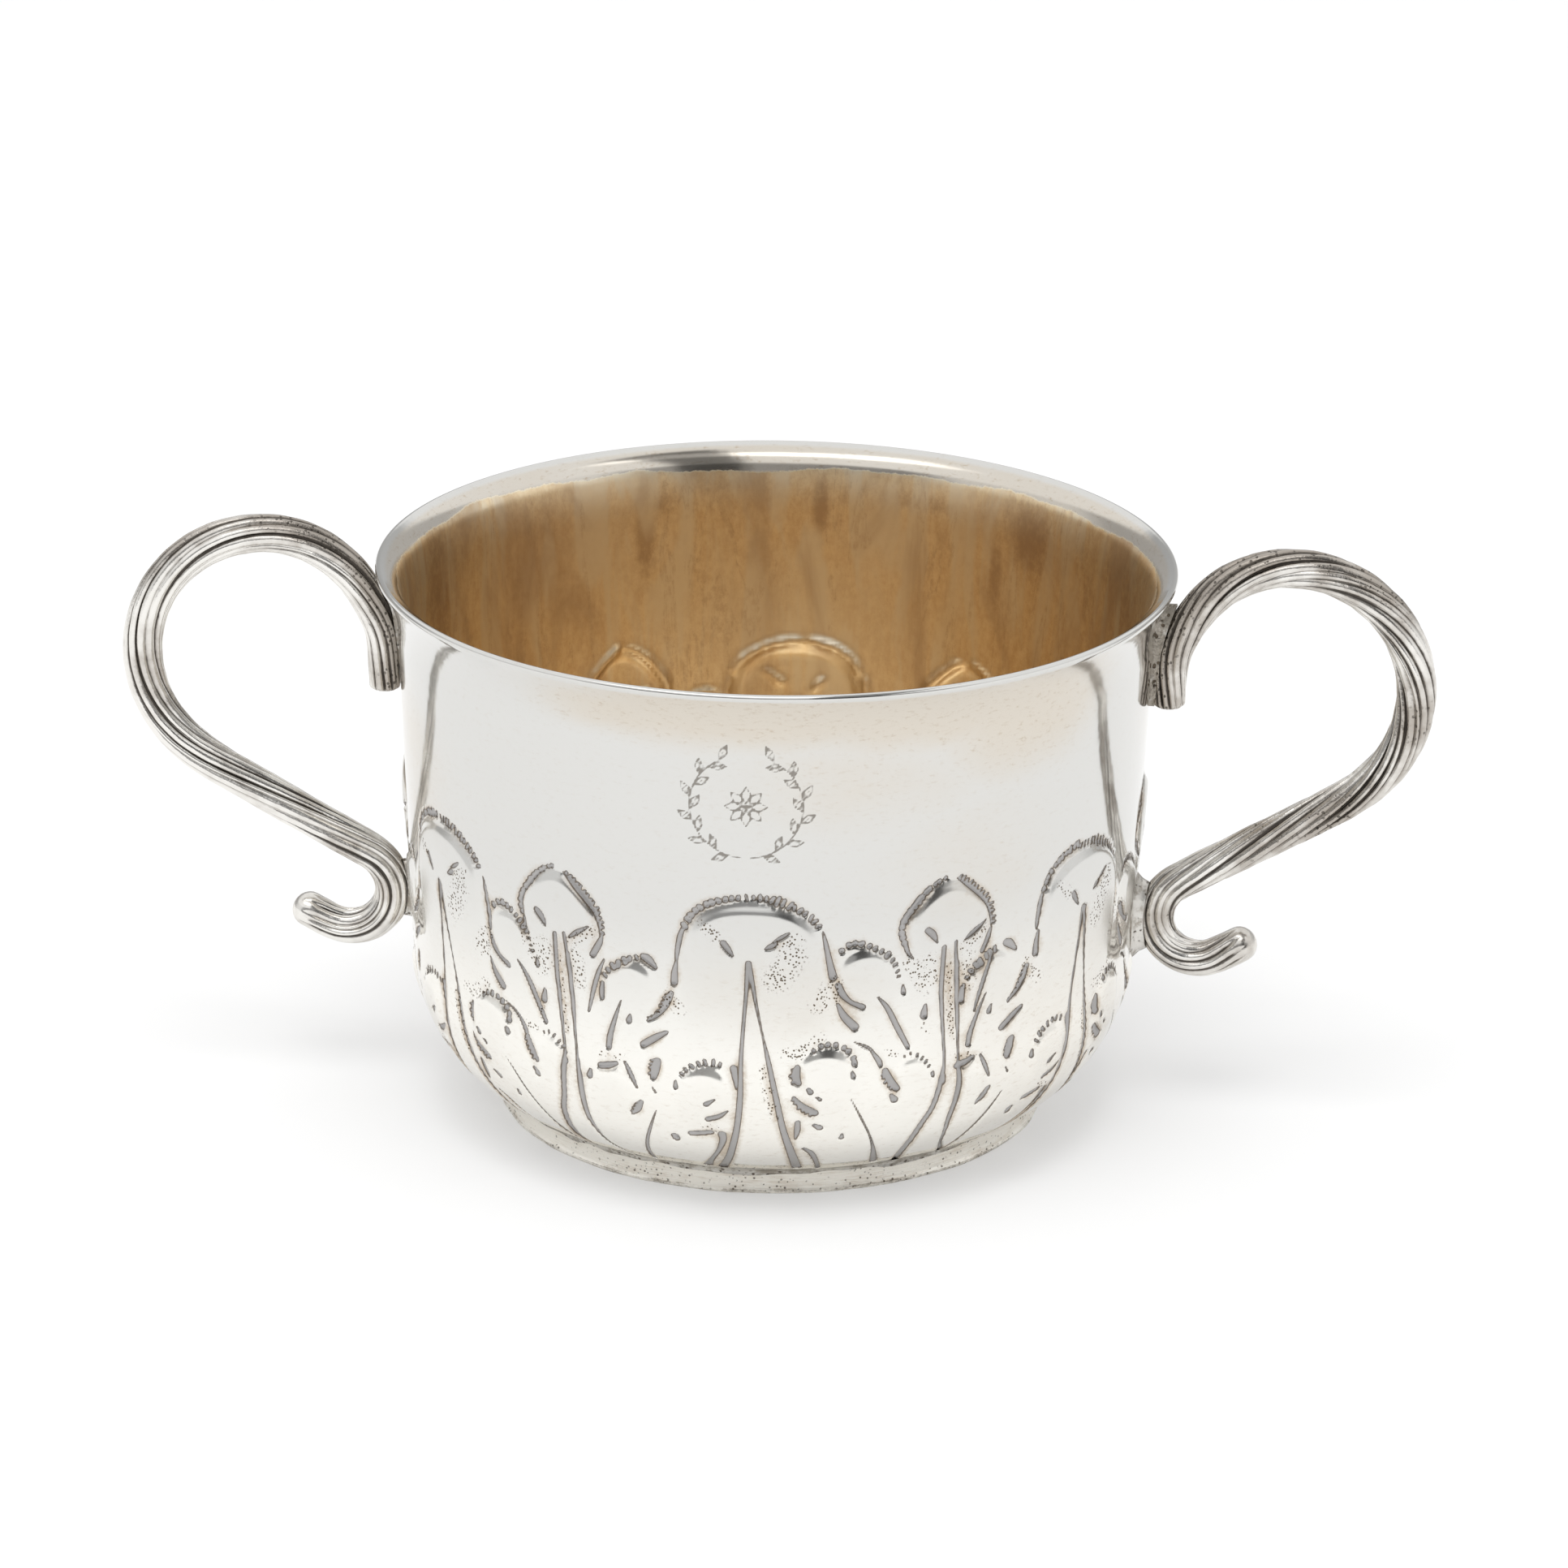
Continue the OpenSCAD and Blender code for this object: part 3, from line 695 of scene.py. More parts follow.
def lay_flat(piece, first, second, strips, heights):
    """A flat map for the baked finish, from two measures of 0 to 1 at each vertex, which may go round.
    The first is cut into strips that lie over one another. Whole numbers of the second set bands apart."""
    left, width = 0.004, 0.988
    low, tall = 0.01, 0.98
    hair = 1e-6
    mesh = piece.data
    corners = np.empty(len(mesh.loops), np.int32)
    mesh.loops.foreach_get("vertex_index", corners)
    starts = np.empty(len(mesh.polygons), np.int32)
    mesh.polygons.foreach_get("loop_start", starts)
    face = np.repeat(np.arange(len(starts)), np.diff(np.append(starts, len(corners))))
    measures, lowest = [], []
    for measure in (first[corners], second[corners]):
        spread = np.fmax.reduceat(measure, starts) - np.fmin.reduceat(measure, starts)
        measure = measure + ((spread > 0.5)[face] & (measure < 0.5))
        least = np.fmin.reduceat(measure, starts)[face]
        measures.append(np.where(np.isnan(measure), least, measure))
        lowest.append(least)
    strip = np.clip(np.floor(strips * lowest[0] + hair), 0, strips - 1)
    band = np.floor(lowest[1] + hair).astype(int)
    height = np.array(heights)[band]
    bottom = np.concatenate([[0], strips * np.cumsum(heights)])[band]
    across = left + width * (strips * measures[0] - strip)
    upward = bottom + height * (strip + low + tall * (measures[1] - band))
    flat_map = mesh.uv_layers.new(name="OFBake")
    flat_map.data.foreach_set("uv", np.stack([across, upward], -1).astype(np.float32).ravel())


# The bowl's flat map has a band for the outside with the lip's edge, and a band for the inside.
outside_band, inside_band = 0.34, 0.16
outer_share = np.interp(outer_lengths, [0, worked[0], section_end], [0, 0.1, 0.97])
outer_share = np.concatenate([outer_share, np.linspace(0.975, 0.995, edge_rings)])
inner_share = 1 + np.interp(-inner_lengths, [-section_end, -worked[0], 0], [0, 0.85, 1])
lay_flat(
    bowl,
    np.concatenate([
        np.tile(np.arange(columns) / columns, shell_rings),
        np.tile(np.arange(inner_columns) / inner_columns, len(inner_lengths)),
        [np.nan, np.nan],
    ]),
    np.concatenate([np.repeat(outer_share, columns), np.repeat(inner_share, inner_columns), [0, 2]]),
    2, [outside_band, inside_band],
)


class Wire:
    """A socket in a finish's node tree. Arithmetic on it adds Math nodes."""

    def __init__(self, tree, socket=None):
        self.tree = tree
        self.socket = socket

    def node(self, kind, settings, sockets, out=0):
        """Adds a node: its settings first, then the values or links of its sockets."""
        made = self.tree.nodes.new(kind)
        for name, value in settings.items():
            setattr(made, name, value)
        for key, value in sockets.items():
            if isinstance(value, Wire):
                self.tree.links.new(value.socket, made.inputs[key])
            else:
                made.inputs[key].default_value = value
        return Wire(self.tree, made.outputs[out])

    def math(self, operation, first, second):
        return self.node("ShaderNodeMath", {"operation": operation}, {0: first, 1: second})

    def __add__(self, other):
        return self.math("ADD", self, other)

    def __radd__(self, other):
        return self.math("ADD", other, self)

    def __sub__(self, other):
        return self.math("SUBTRACT", self, other)

    def __rsub__(self, other):
        return self.math("SUBTRACT", other, self)

    def __mul__(self, other):
        return self.math("MULTIPLY", self, other)

    def __rmul__(self, other):
        return self.math("MULTIPLY", other, self)

    def between(self, low, high):
        """0 below low, 1 above high, and smooth between them."""
        return self.node(
            "ShaderNodeMapRange",
            {"interpolation_type": "SMOOTHSTEP"},
            {"Value": self, "From Min": low, "From Max": high},
        )

    def blend(self, first, second):
        """The first colour where this is 0, and the second where it is 1."""
        return self.node("ShaderNodeMix", {"data_type": "RGBA"}, {0: self, 6: first, 7: second}, out=2)

    def under(self, *films):
        """This colour with films laid over it in turn, each of a share and a colour."""
        colour = self
        for share, film_colour in films:
            colour = share.blend(colour, film_colour)
        return colour

    def painted(self, layer_name):
        return self.node("ShaderNodeAttribute", {"attribute_name": layer_name}, {}, out="Fac")

    def place(self, stretch):
        """The object's own coordinates in millimetres, stretched along each axis."""
        spot = self.node("ShaderNodeTexCoord", {}, {}, out="Object")
        scale = tuple(part / MM for part in stretch)
        return self.node("ShaderNodeVectorMath", {"operation": "MULTIPLY"}, {0: spot, 1: scale})

    def cloud(self, stretch, detail, roughness, warp=0.0):
        """Noise from 0 to 1, with features of about the inverse of the stretch in millimetres."""
        return self.node("ShaderNodeTexNoise", {}, {
            "Vector": self.place(stretch), "Scale": 1.0, "Detail": detail,
            "Roughness": roughness, "Distortion": warp,
        })

    def specks(self, spacing, size):
        """1 inside scattered dots, with their spacing and their size in millimetres."""
        away = self.node("ShaderNodeTexVoronoi", {}, {"Vector": self.place((1 / spacing,) * 3), "Scale": 1.0})
        return 1 - away.between(0.35 * size / spacing, 0.5 * size / spacing)

    def bump(self, height, strength, depth):
        sockets = {"Strength": strength, "Distance": depth * MM, "Height": height}
        return self.node("ShaderNodeBump", {}, sockets)


def finish(name):
    """A new metal's node tree as a bare Wire, its shader and the material itself."""
    made = bpy.data.materials.new(name)
    made.use_nodes = True
    shader = made.node_tree.nodes["Principled BSDF"]
    shader.inputs["Metallic"].default_value = 1.0
    return Wire(made.node_tree), shader, made


def join(wire, shader, socket_name):
    wire.tree.links.new(wire.socket, shader.inputs[socket_name])


# Old silver outside: bright with a thin warm bloom, grey in the punch marks, and brown along their edges.
clean_silver = (0.705, 0.70, 0.678, 1)
bloomed_silver = (0.69, 0.64, 0.565, 1)
painted_light_silver = (0.97, 0.955, 0.905, 1)
groove_grey = (0.47, 0.458, 0.45, 1)
edge_brown = (0.125, 0.095, 0.07, 1)
haze_brown = (0.50, 0.40, 0.29, 1)
speck_brown = (0.12, 0.085, 0.05, 1)
engraved_grey = (0.2, 0.18, 0.155, 1)
gold = (0.99, 0.83, 0.575, 1)
deep_gold = (0.80, 0.61, 0.385, 1)
worn_gold = (0.94, 0.855, 0.69, 1)
pale_gold = (0.93, 0.88, 0.75, 1)
stain_brown = (0.60, 0.45, 0.305, 1)

bare, shader, bowl_finish = finish("old_silver_gilt_inside")
groove = bare.painted("groove")
marks = bare.painted("browned")
speckle = bare.cloud((1.6, 1.6, 1.6), 4, 0.7)
drift = bare.cloud((0.07, 0.07, 0.12), 4, 0.6)
bloom = (bare.painted("bloom") * (0.35 + drift)).between(0.1, 0.75)
floor_grey = groove.between(0.5, 0.56)
edge = groove.between(0.3, 0.42) * (1 - groove.between(0.56, 0.64))
matting = bare.painted("matting")
haze = (marks * (0.2 + speckle) + 0.5 * matting * speckle).between(0.17, 0.72)
specks = bare.specks(0.4, 0.3) * (matting + 0.5 * speckle).between(0.3, 0.6)
line = bare.painted("engraving").between(0.42, 0.56)
fleck = bare.cloud((0.9, 0.9, 2.2), 6, 0.75)
wear_and_painted_light = bare.painted("wear_and_painted_light")
# Painted light: the outside silver is painted brighter towards the foot. Inside, the same layer marks worn
# gilding.
silver = wear_and_painted_light.blend(clean_silver, painted_light_silver).under(
    (bloom * (1 - 0.5 * wear_and_painted_light), bloomed_silver),
    ((0.15 + 0.6 * bloom) * fleck.between(0.52, 0.75), haze_brown),
    (haze * 0.75, haze_brown),
    (edge * (0.6 + 0.5 * speckle), edge_brown),
    (floor_grey, groove_grey),
    (specks * 0.9, speck_brown),
    (line * 0.85, engraved_grey),
)

# Gilding inside: mottled and brushed, stained in streaks and drips, worn light, and pale where it ends.
gilt_reach = bare.painted("gilt") + 0.46 * bare.cloud((0.6, 0.6, 0.3), 5, 0.7) - 0.23
gilt = gilt_reach.between(0.47, 0.53)
mottle = bare.cloud((1.2, 1.2, 0.9), 6, 0.75)
streak = bare.cloud((0.2, 0.2, 0.04), 3, 0.5, 0.8)
stain = bare.cloud((0.12, 0.12, 0.045), 4, 0.55, 0.7)
drip = bare.cloud((0.13, 0.13, 0.02), 6, 0.62, 0.9)
drip_edge = drip.between(0.54, 0.565) * (1 - drip.between(0.565, 0.6))
brushing = bare.cloud((0.7, 0.7, 0.16), 5, 0.7, 0.5)
gilding = (0.6 * mottle + 0.4 * brushing).between(0.36, 0.66).blend(gold, deep_gold).under(
    (wear_and_painted_light * (0.2 + streak) * 0.8, worn_gold),
    ((bare.painted("smear") * (0.35 + mottle)).between(0.15, 0.75), stain_brown),
    (streak.between(0.46, 0.64) * 0.75, worn_gold),
    (stain.between(0.46, 0.7) * 0.65, stain_brown),
    (drip_edge * mottle.between(0.3, 0.7) * 0.45, stain_brown),
    (marks * 0.3, stain_brown),
    ((1 - gilt_reach.between(0.53, 0.62)) * 0.6, pale_gold),
)
join(gilt.blend(silver, gilding), shader, "Base Color")

# Fine wear runs round the wall, and the hammer's planishing still shows in the mirror of it.
scratch = bare.cloud((0.25, 0.25, 9.0), 2, 0.6)
polish = 0.055 + 0.06 * bloom + 0.05 * scratch + 0.15 * bare.painted("satin")
dull = polish + floor_grey * 0.25 + specks * 0.3 + edge * 0.2 + haze * 0.1
gilt_dull = 0.25 + 0.14 * stain
join(gilt * gilt_dull + (1 - gilt) * dull, shader, "Roughness")
planished = bare.cloud((0.25, 0.25, 0.25), 2, 0.5)
texture = planished * 0.6 + scratch * 0.03 + speckle * floor_grey * 0.12 - specks * 0.25
join(bare.bump(texture, 0.35, 0.12), shader, "Normal")
bowl.data.materials.append(bowl_finish)
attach(bowl, "root")
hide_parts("bowl")

# Foot ring
# A strip of silver bent to a ring, its lapped ends soldered, with a low bead hammered along its lower edge.
# It is soldered under the belly, and grit has worn it dull. Dirt and painted shade darken it along its lower
# edge and at its top under the belly.
foot_h = 3.45
foot_t = 1.4
foot_draft = 0.7
bead_h = 0.7
bead_out = 0.25
film = 0.02
foot_r = belly_x + math.sqrt(belly_r ** 2 - (belly_z - foot_h) ** 2)
foot_in_r = foot_r - foot_t
chamfer = 0.15
bead_round = 0.22
foot_columns = 720
lap_deg = -21.0
lap_reach_deg = 26.0
lap_step = 0.22


def underside(radius):
    return belly_z - np.sqrt(belly_r ** 2 - (radius - belly_x) ** 2)


def ripple(at_turns, rng, lowest, count):
    """An uneven line round the cup, of about -1 to 1, from a few waves of random phase."""
    waves = np.arange(lowest, lowest + count)
    phases = rng.uniform(0, 2 * math.pi, count)
    sizes = rng.uniform(0.4, 1.0, count)
    total = sum(size * np.sin(wave * at_turns + phase) for wave, phase, size in zip(waves, phases, sizes))
    return total / np.sqrt((sizes ** 2).sum() / 2) / 2


def revolve(name, radii, heights):
    """A closed ring from a section: one row of radii and heights for each point of the section."""
    at_turns = np.linspace(0, 2 * math.pi, radii.shape[1], endpoint=False)
    points = ring(radii, heights, at_turns[None, :])
    rows, count = radii.shape
    faces = quads(0, count, rows)
    here = np.arange(count)
    after = (here + 1) % count
    last = (rows - 1) * count
    faces += np.stack([last + here, last + after, after, here], -1).tolist()
    return build(name, points.reshape(-1, 3), faces)


# The strip's line strays as a hand bends it, with its step at the lap, and the bead is uneven.
foot_rng = np.random.default_rng(5)
foot_turns = np.linspace(0, 2 * math.pi, foot_columns, endpoint=False)
from_lap = (np.degrees(foot_turns) - lap_deg) % 360
lap = lap_step * ease(1 - (360 - from_lap) / lap_reach_deg) * ease((360 - from_lap) / 0.8)
sway = 0.1 * ripple(foot_turns, foot_rng, 2, 6) + 0.04 * ripple(foot_turns, foot_rng, 15, 20) + lap - 0.12
beading = bead_out * (0.65 + 0.35 * ripple(foot_turns, foot_rng, 5, 24))
bead_top = bead_h * (1 + 0.25 * ripple(foot_turns, foot_rng, 4, 18))
face_x = foot_r - foot_draft + sway


def foot_face(up):
    """How far out the ring's face is, at a share of the way up it."""
    return face_x + (foot_draft - 0.1) * up ** 1.6


flat = np.zeros(foot_columns)
foot_rows = [
    (flat + foot_in_r, flat + underside(foot_in_r) - film),
    (flat + foot_in_r - foot_draft, flat + bead_h),
    (flat + foot_in_r - foot_draft, flat + chamfer),
    (flat + foot_in_r - foot_draft + chamfer, flat),
    (face_x + beading - chamfer, flat),
]
for bead_a in np.radians(np.linspace(-75, 75, 7)):
    foot_rows.append((
        face_x + beading - bead_round + bead_round * math.cos(bead_a),
        bead_top / 2 + (bead_top / 2 - 0.04) * math.sin(bead_a),
    ))
face_low, face_high = bead_top + 0.12, foot_h - 0.06
for up in np.linspace(0, 1, 9):
    hollow = 0.1 * math.sin(math.pi * up)
    foot_rows.append((foot_face(up) - hollow, face_low + (face_high - face_low) * up))
foot_radii, foot_heights = (np.array(part)[::-1] for part in zip(*foot_rows))
foot_ring = revolve("foot_ring_strip", foot_radii, foot_heights)
# Dirt and painted shade: the ring is darkened along its lower edge, where it meets the paper, and at its top
# under the belly.
soiled_and_shaded = 0.7 * ease((1.3 - foot_heights) / 0.9) + ease((foot_heights - 2.6) / 0.8)
paint(foot_ring, "grime_and_shade", np.clip(soiled_and_shaded, 0, 1))

worn_silver = (0.97, 0.94, 0.87, 1)
grimy_silver = (0.82, 0.76, 0.67, 1)
dirt_and_shade_brown = (0.11, 0.085, 0.06, 1)
bare, shader, foot_finish = finish("worn_silver")
score = bare.cloud((0.22, 0.22, 7.0), 4, 0.7)
patch = bare.cloud((0.2, 0.2, 0.5), 5, 0.7)
grain = bare.cloud((2.0, 2.0, 2.6), 4, 0.7)
crumbs = bare.specks(0.6, 0.34) * (0.6 * patch + 0.5 * grain).between(0.52, 0.62)
grime_and_shade = bare.painted("grime_and_shade")
dirt_and_shade = (grime_and_shade * (0.1 + 0.7 * score + 0.7 * patch) + 0.35 * grain - 0.15).between(0.5, 0.8)
worn = (0.5 * patch + 0.5 * score).between(0.48, 0.62).blend(worn_silver, grimy_silver)
worn = worn.under((dirt_and_shade * 0.85, dirt_and_shade_brown), (crumbs * 0.85, dirt_and_shade_brown))
join(worn, shader, "Base Color")
join(0.24 + 0.16 * patch + 0.25 * dirt_and_shade, shader, "Roughness")
join(bare.bump(score + patch * 0.6 - crumbs * 0.5 - dirt_and_shade * 0.4, 0.6, 0.15), shader, "Normal")
foot_ring.data.materials.append(foot_finish)
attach(foot_ring, "root")
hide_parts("foot_ring")

# Foot solder
# The fillet of hard solder that ran into the corner between the belly and the foot ring all the way round.
# It stands in low lumps, and tarnish has gathered along it.
fillet_w = 1.1
fillet_rng = np.random.default_rng(8)
fillet = 0.62 + 0.3 * ripple(foot_turns, fillet_rng, 3, 9) + 0.12 * ripple(foot_turns, fillet_rng, 20, 30)
fillet = np.clip(fillet_w * fillet, 0.25, fillet_w)
seat_x = foot_r + fillet
seat_z = underside(seat_x) - 0.01
toe_x = foot_face((foot_h - fillet - bead_h) / (foot_h - bead_h)) + 0.03
toe_z = foot_h - fillet
root_z = underside(foot_r) - 0.05

# Its section: the back that is hidden in the corner, then the face from the ring up to the belly.
fillet_rows = [(flat + foot_r - 0.25, flat + root_z), (flat + foot_r - 0.35, toe_z + 0.1)]
for share in np.linspace(0, 1, 7):
    pinch = 0.16 * fillet * math.sin(math.pi * share)
    fillet_rows.append((
        toe_x + (seat_x - toe_x) * share - pinch,
        toe_z + (seat_z - toe_z) * share + pinch,
    ))
fillet_radii, fillet_heights = (np.array(part) for part in zip(*fillet_rows))
foot_fillet = revolve("foot_solder_fillet", fillet_radii, fillet_heights)

solder_grey = (0.72, 0.70, 0.66, 1)
solder_brown = (0.30, 0.26, 0.21, 1)
paint(foot_fillet, "pitting", np.full(len(foot_fillet.data.vertices), 0.4))
bare, shader, solder_finish = finish("hard_solder")
lumps = bare.cloud((0.9, 0.9, 0.9), 4, 0.65)
pitted = bare.painted("pitting")
holes = bare.specks(0.8, 0.5) * (lumps + 0.25 * pitted).between(0.52, 0.64)
tarnish = (bare.cloud((0.5, 0.5, 0.5), 5, 0.7) + 0.16 * pitted).between(0.5, 0.68)
soldered = (tarnish * 0.8).blend(solder_grey, solder_brown)
join((holes * 0.9).blend(soldered, dirt_and_shade_brown), shader, "Base Color")
join(0.26 + 0.2 * lumps, shader, "Roughness")
join(bare.bump(lumps * (0.3 + 1.4 * pitted) - holes * 0.8, 0.8, 0.25), shader, "Normal")
foot_fillet.data.materials.append(solder_finish)
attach(foot_fillet, "root")
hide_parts("foot_solder")

# Handles
# Two silver rods drawn with reeds, twisted, and bent to a loop with a small scroll below and a free tail.
# The reeds are uneven, tarnish and painted shade fill the grooves between them, and the tails are rounded off
# smooth.
handle_r = 2.5
rise_r = 14.1
loop_r = 16.2
scroll_r = 5.5
scroll_z = 24.9
leg_l = 5.0
tail_l = 5.0
reeds = 12
solder_t = 0.2
loop_top_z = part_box("right_handle")[1][2] / MM - handle_r
rise_z = loop_top_z - rise_r
loop_z = loop_top_z - loop_r


def wall_x(height):
    return section(length_at(height))[0]


leg_x = wall_x(rise_z) + solder_t + handle_r
rise_x = leg_x + rise_r
scroll_x = wall_x(scroll_z) + solder_t + handle_r + scroll_r
centres_d = math.hypot(scroll_x - rise_x, scroll_z - loop_z)
run_heading = math.atan2(scroll_z - loop_z, scroll_x - rise_x) - math.asin((loop_r + scroll_r) / centres_d)
path_step = 0.1


def straight(start, end):
    count = max(2, int(math.dist(start, end) / path_step))
    share = np.arange(count)[:, None] / count
    return np.array(start) * (1 - share) + np.array(end) * share


def bend(x, z, radius, start, end):
    count = int(abs(end - start) * radius / path_step)
    at = start + (end - start) * np.arange(count) / count
    return np.stack([x + radius * np.cos(at), z + radius * np.sin(at)], -1)


# Centre line of the right handle in its own plane, from its upper end, eased where one bend meets the next.
loop_bend = bend(rise_x, loop_z, loop_r, math.pi / 2, run_heading + math.pi / 2)
scroll_bend = bend(scroll_x, scroll_z, scroll_r, run_heading - math.pi / 2, run_heading + math.pi / 2)
tail_from = (
    scroll_x + scroll_r * math.cos(run_heading + math.pi / 2),
    scroll_z + scroll_r * math.sin(run_heading + math.pi / 2),
)
tail_to = (tail_from[0] - tail_l * math.cos(run_heading), tail_from[1] - tail_l * math.sin(run_heading))
path = np.vstack([
    straight((leg_x, rise_z - leg_l), (leg_x, rise_z)),
    bend(rise_x, rise_z, rise_r, math.pi, math.pi / 2),
    loop_bend,
    straight(tuple(loop_bend[-1]), tuple(scroll_bend[0])),
    scroll_bend,
    straight(tail_from, tail_to),
    [tail_to],
])
path_s = run_along(path)
handle_l = path_s[-1]
scroll_s = handle_l - tail_l - math.pi * scroll_r
softest = 3.2 - 2.4 * ease((path_s - scroll_s + 12) / 12)
ease_reach = np.minimum(softest, 0.3 * np.minimum(path_s, handle_l - path_s))
nearness = np.exp(-0.5 * ((path_s[:, None] - path_s[None, :]) / (ease_reach[:, None] + 0.05)) ** 2)
path = nearness @ path / nearness.sum(1, keepdims=True)
path_s = run_along(path)
handle_l = path_s[-1]
heading = np.unwrap(np.arctan2(np.gradient(path[:, 1]), np.gradient(path[:, 0])))

rod_step = 0.35
reed_points = 12
blunt = 0.9
tail_round = 2.1
joint_reach, joint_fade = 30, 12
top_reach, top_fade = 38, 15

# The rod's full radius at lengths along it: it tapers towards both ends.
full = np.array([0, 6, 16, 40, 62, 80, 92, handle_l - 6, handle_l])
full_r = np.array([2.05, 2.15, 2.42, 2.5, 2.5, 2.42, 2.35, 2.3, 2.25])


def rounded(share):
    """The width of a rounded end at a share of its length."""
    return np.sqrt(np.clip(1 - (1 - np.clip(share, 0, 1)) ** 2, 0, 1))


def reeded_rod(name, turn_count, spare_l, tarnish_share, seed, flip):
    """A twisted rod along the handle's centre line, its leg left longer by a spare length."""
    rng = np.random.default_rng(seed)
    upper_cap = blunt * (1 - np.cos(np.radians([12, 30, 50, 70, 90]))) - spare_l
    lower_cap = handle_l - tail_round * (1 - np.cos(np.radians([90, 75, 60, 45, 30, 16, 6])))
    stations = np.concatenate([
        upper_cap, np.arange(blunt - spare_l + rod_step, handle_l - tail_round - 0.2, rod_step), lower_cap,
    ])
    around = reeds * reed_points
    widths = rng.uniform(0.55, 1.5, reeds)
    edges = np.concatenate([[0], np.cumsum(widths / widths.sum())]) * 2 * math.pi
    t = (np.arange(around) % reed_points) / reed_points
    number = np.arange(around) // reed_points
    base_angle = edges[number] + t * (edges[number + 1] - edges[number])
    valley = 1 - np.sin(math.pi * t) ** 0.8
    depths = rng.uniform(0.3, 0.66, reeds + 1)
    depths[-1] = depths[0]
    edge_depth = np.where(t < 0.5, depths[number], depths[number + 1])
    angle = base_angle[None, :] - 2 * math.pi * turn_count * (stations / handle_l)[:, None]
    # The reeds are worn by turns along the rod, and they run out before both ends.
    worn = 0.85 + 0.25 * np.sin(stations[:, None] * 0.16 + 2.1 * number[None, :] + seed)
    fade = ease((handle_l - stations - 0.9) / 3.2) * ease((stations + spare_l + 1.2) / 2.4)
    depth = edge_depth[None, :] * worn * fade[:, None]
    drawn_r = np.interp(stations, full, full_r)
    rod_r = drawn_r * rounded((stations + spare_l) / blunt) * rounded((handle_l - stations) / tail_round)
    dents = 0.03 * np.sin(stations[:, None] * 0.9 + 3 * np.sin(angle + seed))
    sunk_by = (depth * valley[None, :] + np.abs(dents)) * (rod_r / handle_r)[:, None]
    radius = np.maximum(rod_r[:, None] - sunk_by, 0.02)
    px, pz, ph = (np.interp(stations, path_s, row)[:, None] for row in (path[:, 0], path[:, 1], heading))
    # The thinner leg is set inward, so that it stays against its solder.
    px = px - ((handle_r - drawn_r) * (1 - ease((stations - 6) / 9)))[:, None]
    pz = pz + np.minimum(stations, 0)[:, None]
    rod = np.stack([
        px - radius * np.cos(angle) * np.sin(ph),
        -radius * np.sin(angle),
        pz + radius * np.cos(angle) * np.cos(ph),
    ], -1)
    tips = np.array([[px[0, 0], 0, path[0, 1] - spare_l], [path[-1, 0], 0, path[-1, 1]]])
    points = np.vstack([rod.reshape(-1, 3), tips])
    if flip:
        points = points * (-1, -1, 1)
    first_tip = len(stations) * around
    last_ring = first_tip - around
    faces = [face[::-1] for face in quads(0, around, len(stations))]
    faces += fan(first_tip, 0, around, False)
    faces += fan(first_tip + 1, last_ring, around, True)
    made = build(name, points, faces)
    hidden = valley[None, :] * fade[:, None] * (edge_depth / depths.max())[None, :]
    paint(made, "groove", np.concatenate([hidden.ravel(), [0, 0]]))
    # Near the wall joints, the side facing the wall is darkened with tarnish and painted shade. The loop's
    # top is darkened with painted shade.
    joint_tarnish_and_shade = ease((joint_reach - stations) / joint_fade)[:, None] * ease(np.cos(angle) + 0.2)
    loop_top = 0.5 - 0.5 * ease((stations - top_reach) / top_fade)
    top_painted_shade = loop_top[:, None] * ease(np.cos(angle) * np.cos(ph) - 0.05)
    paint(made, "tarnish", np.concatenate([(tarnish_share + joint_tarnish_and_shade + top_painted_shade).ravel(), [0, 0]]))
    along = np.interp(stations, [-spare_l, handle_l], [0.001, 0.999])
    lay_flat(
        made,
        np.concatenate([np.repeat(along, around), [0, 1]]),
        np.concatenate([np.tile(np.arange(around) / around, len(stations)), [np.nan, np.nan]]),
        3, [1 / 3],
    )
    return made


rod_silver = (0.88, 0.86, 0.82, 1)
rod_brown = (0.47, 0.43, 0.385, 1)
shade_brown = (0.22, 0.19, 0.16, 1)
black_tarnish_and_shade = (0.075, 0.065, 0.055, 1)
bare, shader, rod_finish = finish("tarnished_reeded_silver")
groove = bare.painted("groove")
breakup = bare.cloud((0.8, 0.8, 0.8), 4, 0.7)
# The tarnish layer carries real tarnish and the painted shade at the joints and on the loop's top.
film_tarnish_and_shade = bare.cloud((0.14, 0.14, 0.14), 4, 0.6) + 0.45 * bare.painted("tarnish")
# Tarnish and painted shade: the grooves between the reeds are darkened nearly black.
groove_tarnish_and_shade = (groove + 0.5 * breakup + 0.3 * film_tarnish_and_shade - 0.43).between(0.38, 0.68)
shade = (groove + 0.6 * film_tarnish_and_shade - 0.3).between(0.15, 0.7)
crumbs = bare.specks(0.7, 0.42) * film_tarnish_and_shade.between(0.62, 0.8)
rod_colour = film_tarnish_and_shade.between(0.4, 0.8).blend(rod_silver, rod_brown).under(
    (shade * 0.6, shade_brown), (groove_tarnish_and_shade * 0.9, black_tarnish_and_shade), (crumbs * 0.8, black_tarnish_and_shade),
)
join(rod_colour, shader, "Base Color")
join(0.11 + 0.12 * film_tarnish_and_shade + 0.25 * groove_tarnish_and_shade, shader, "Roughness")
join(bare.bump(breakup * (0.3 + film_tarnish_and_shade) - crumbs * 0.8, 0.55, 0.12), shader, "Normal")
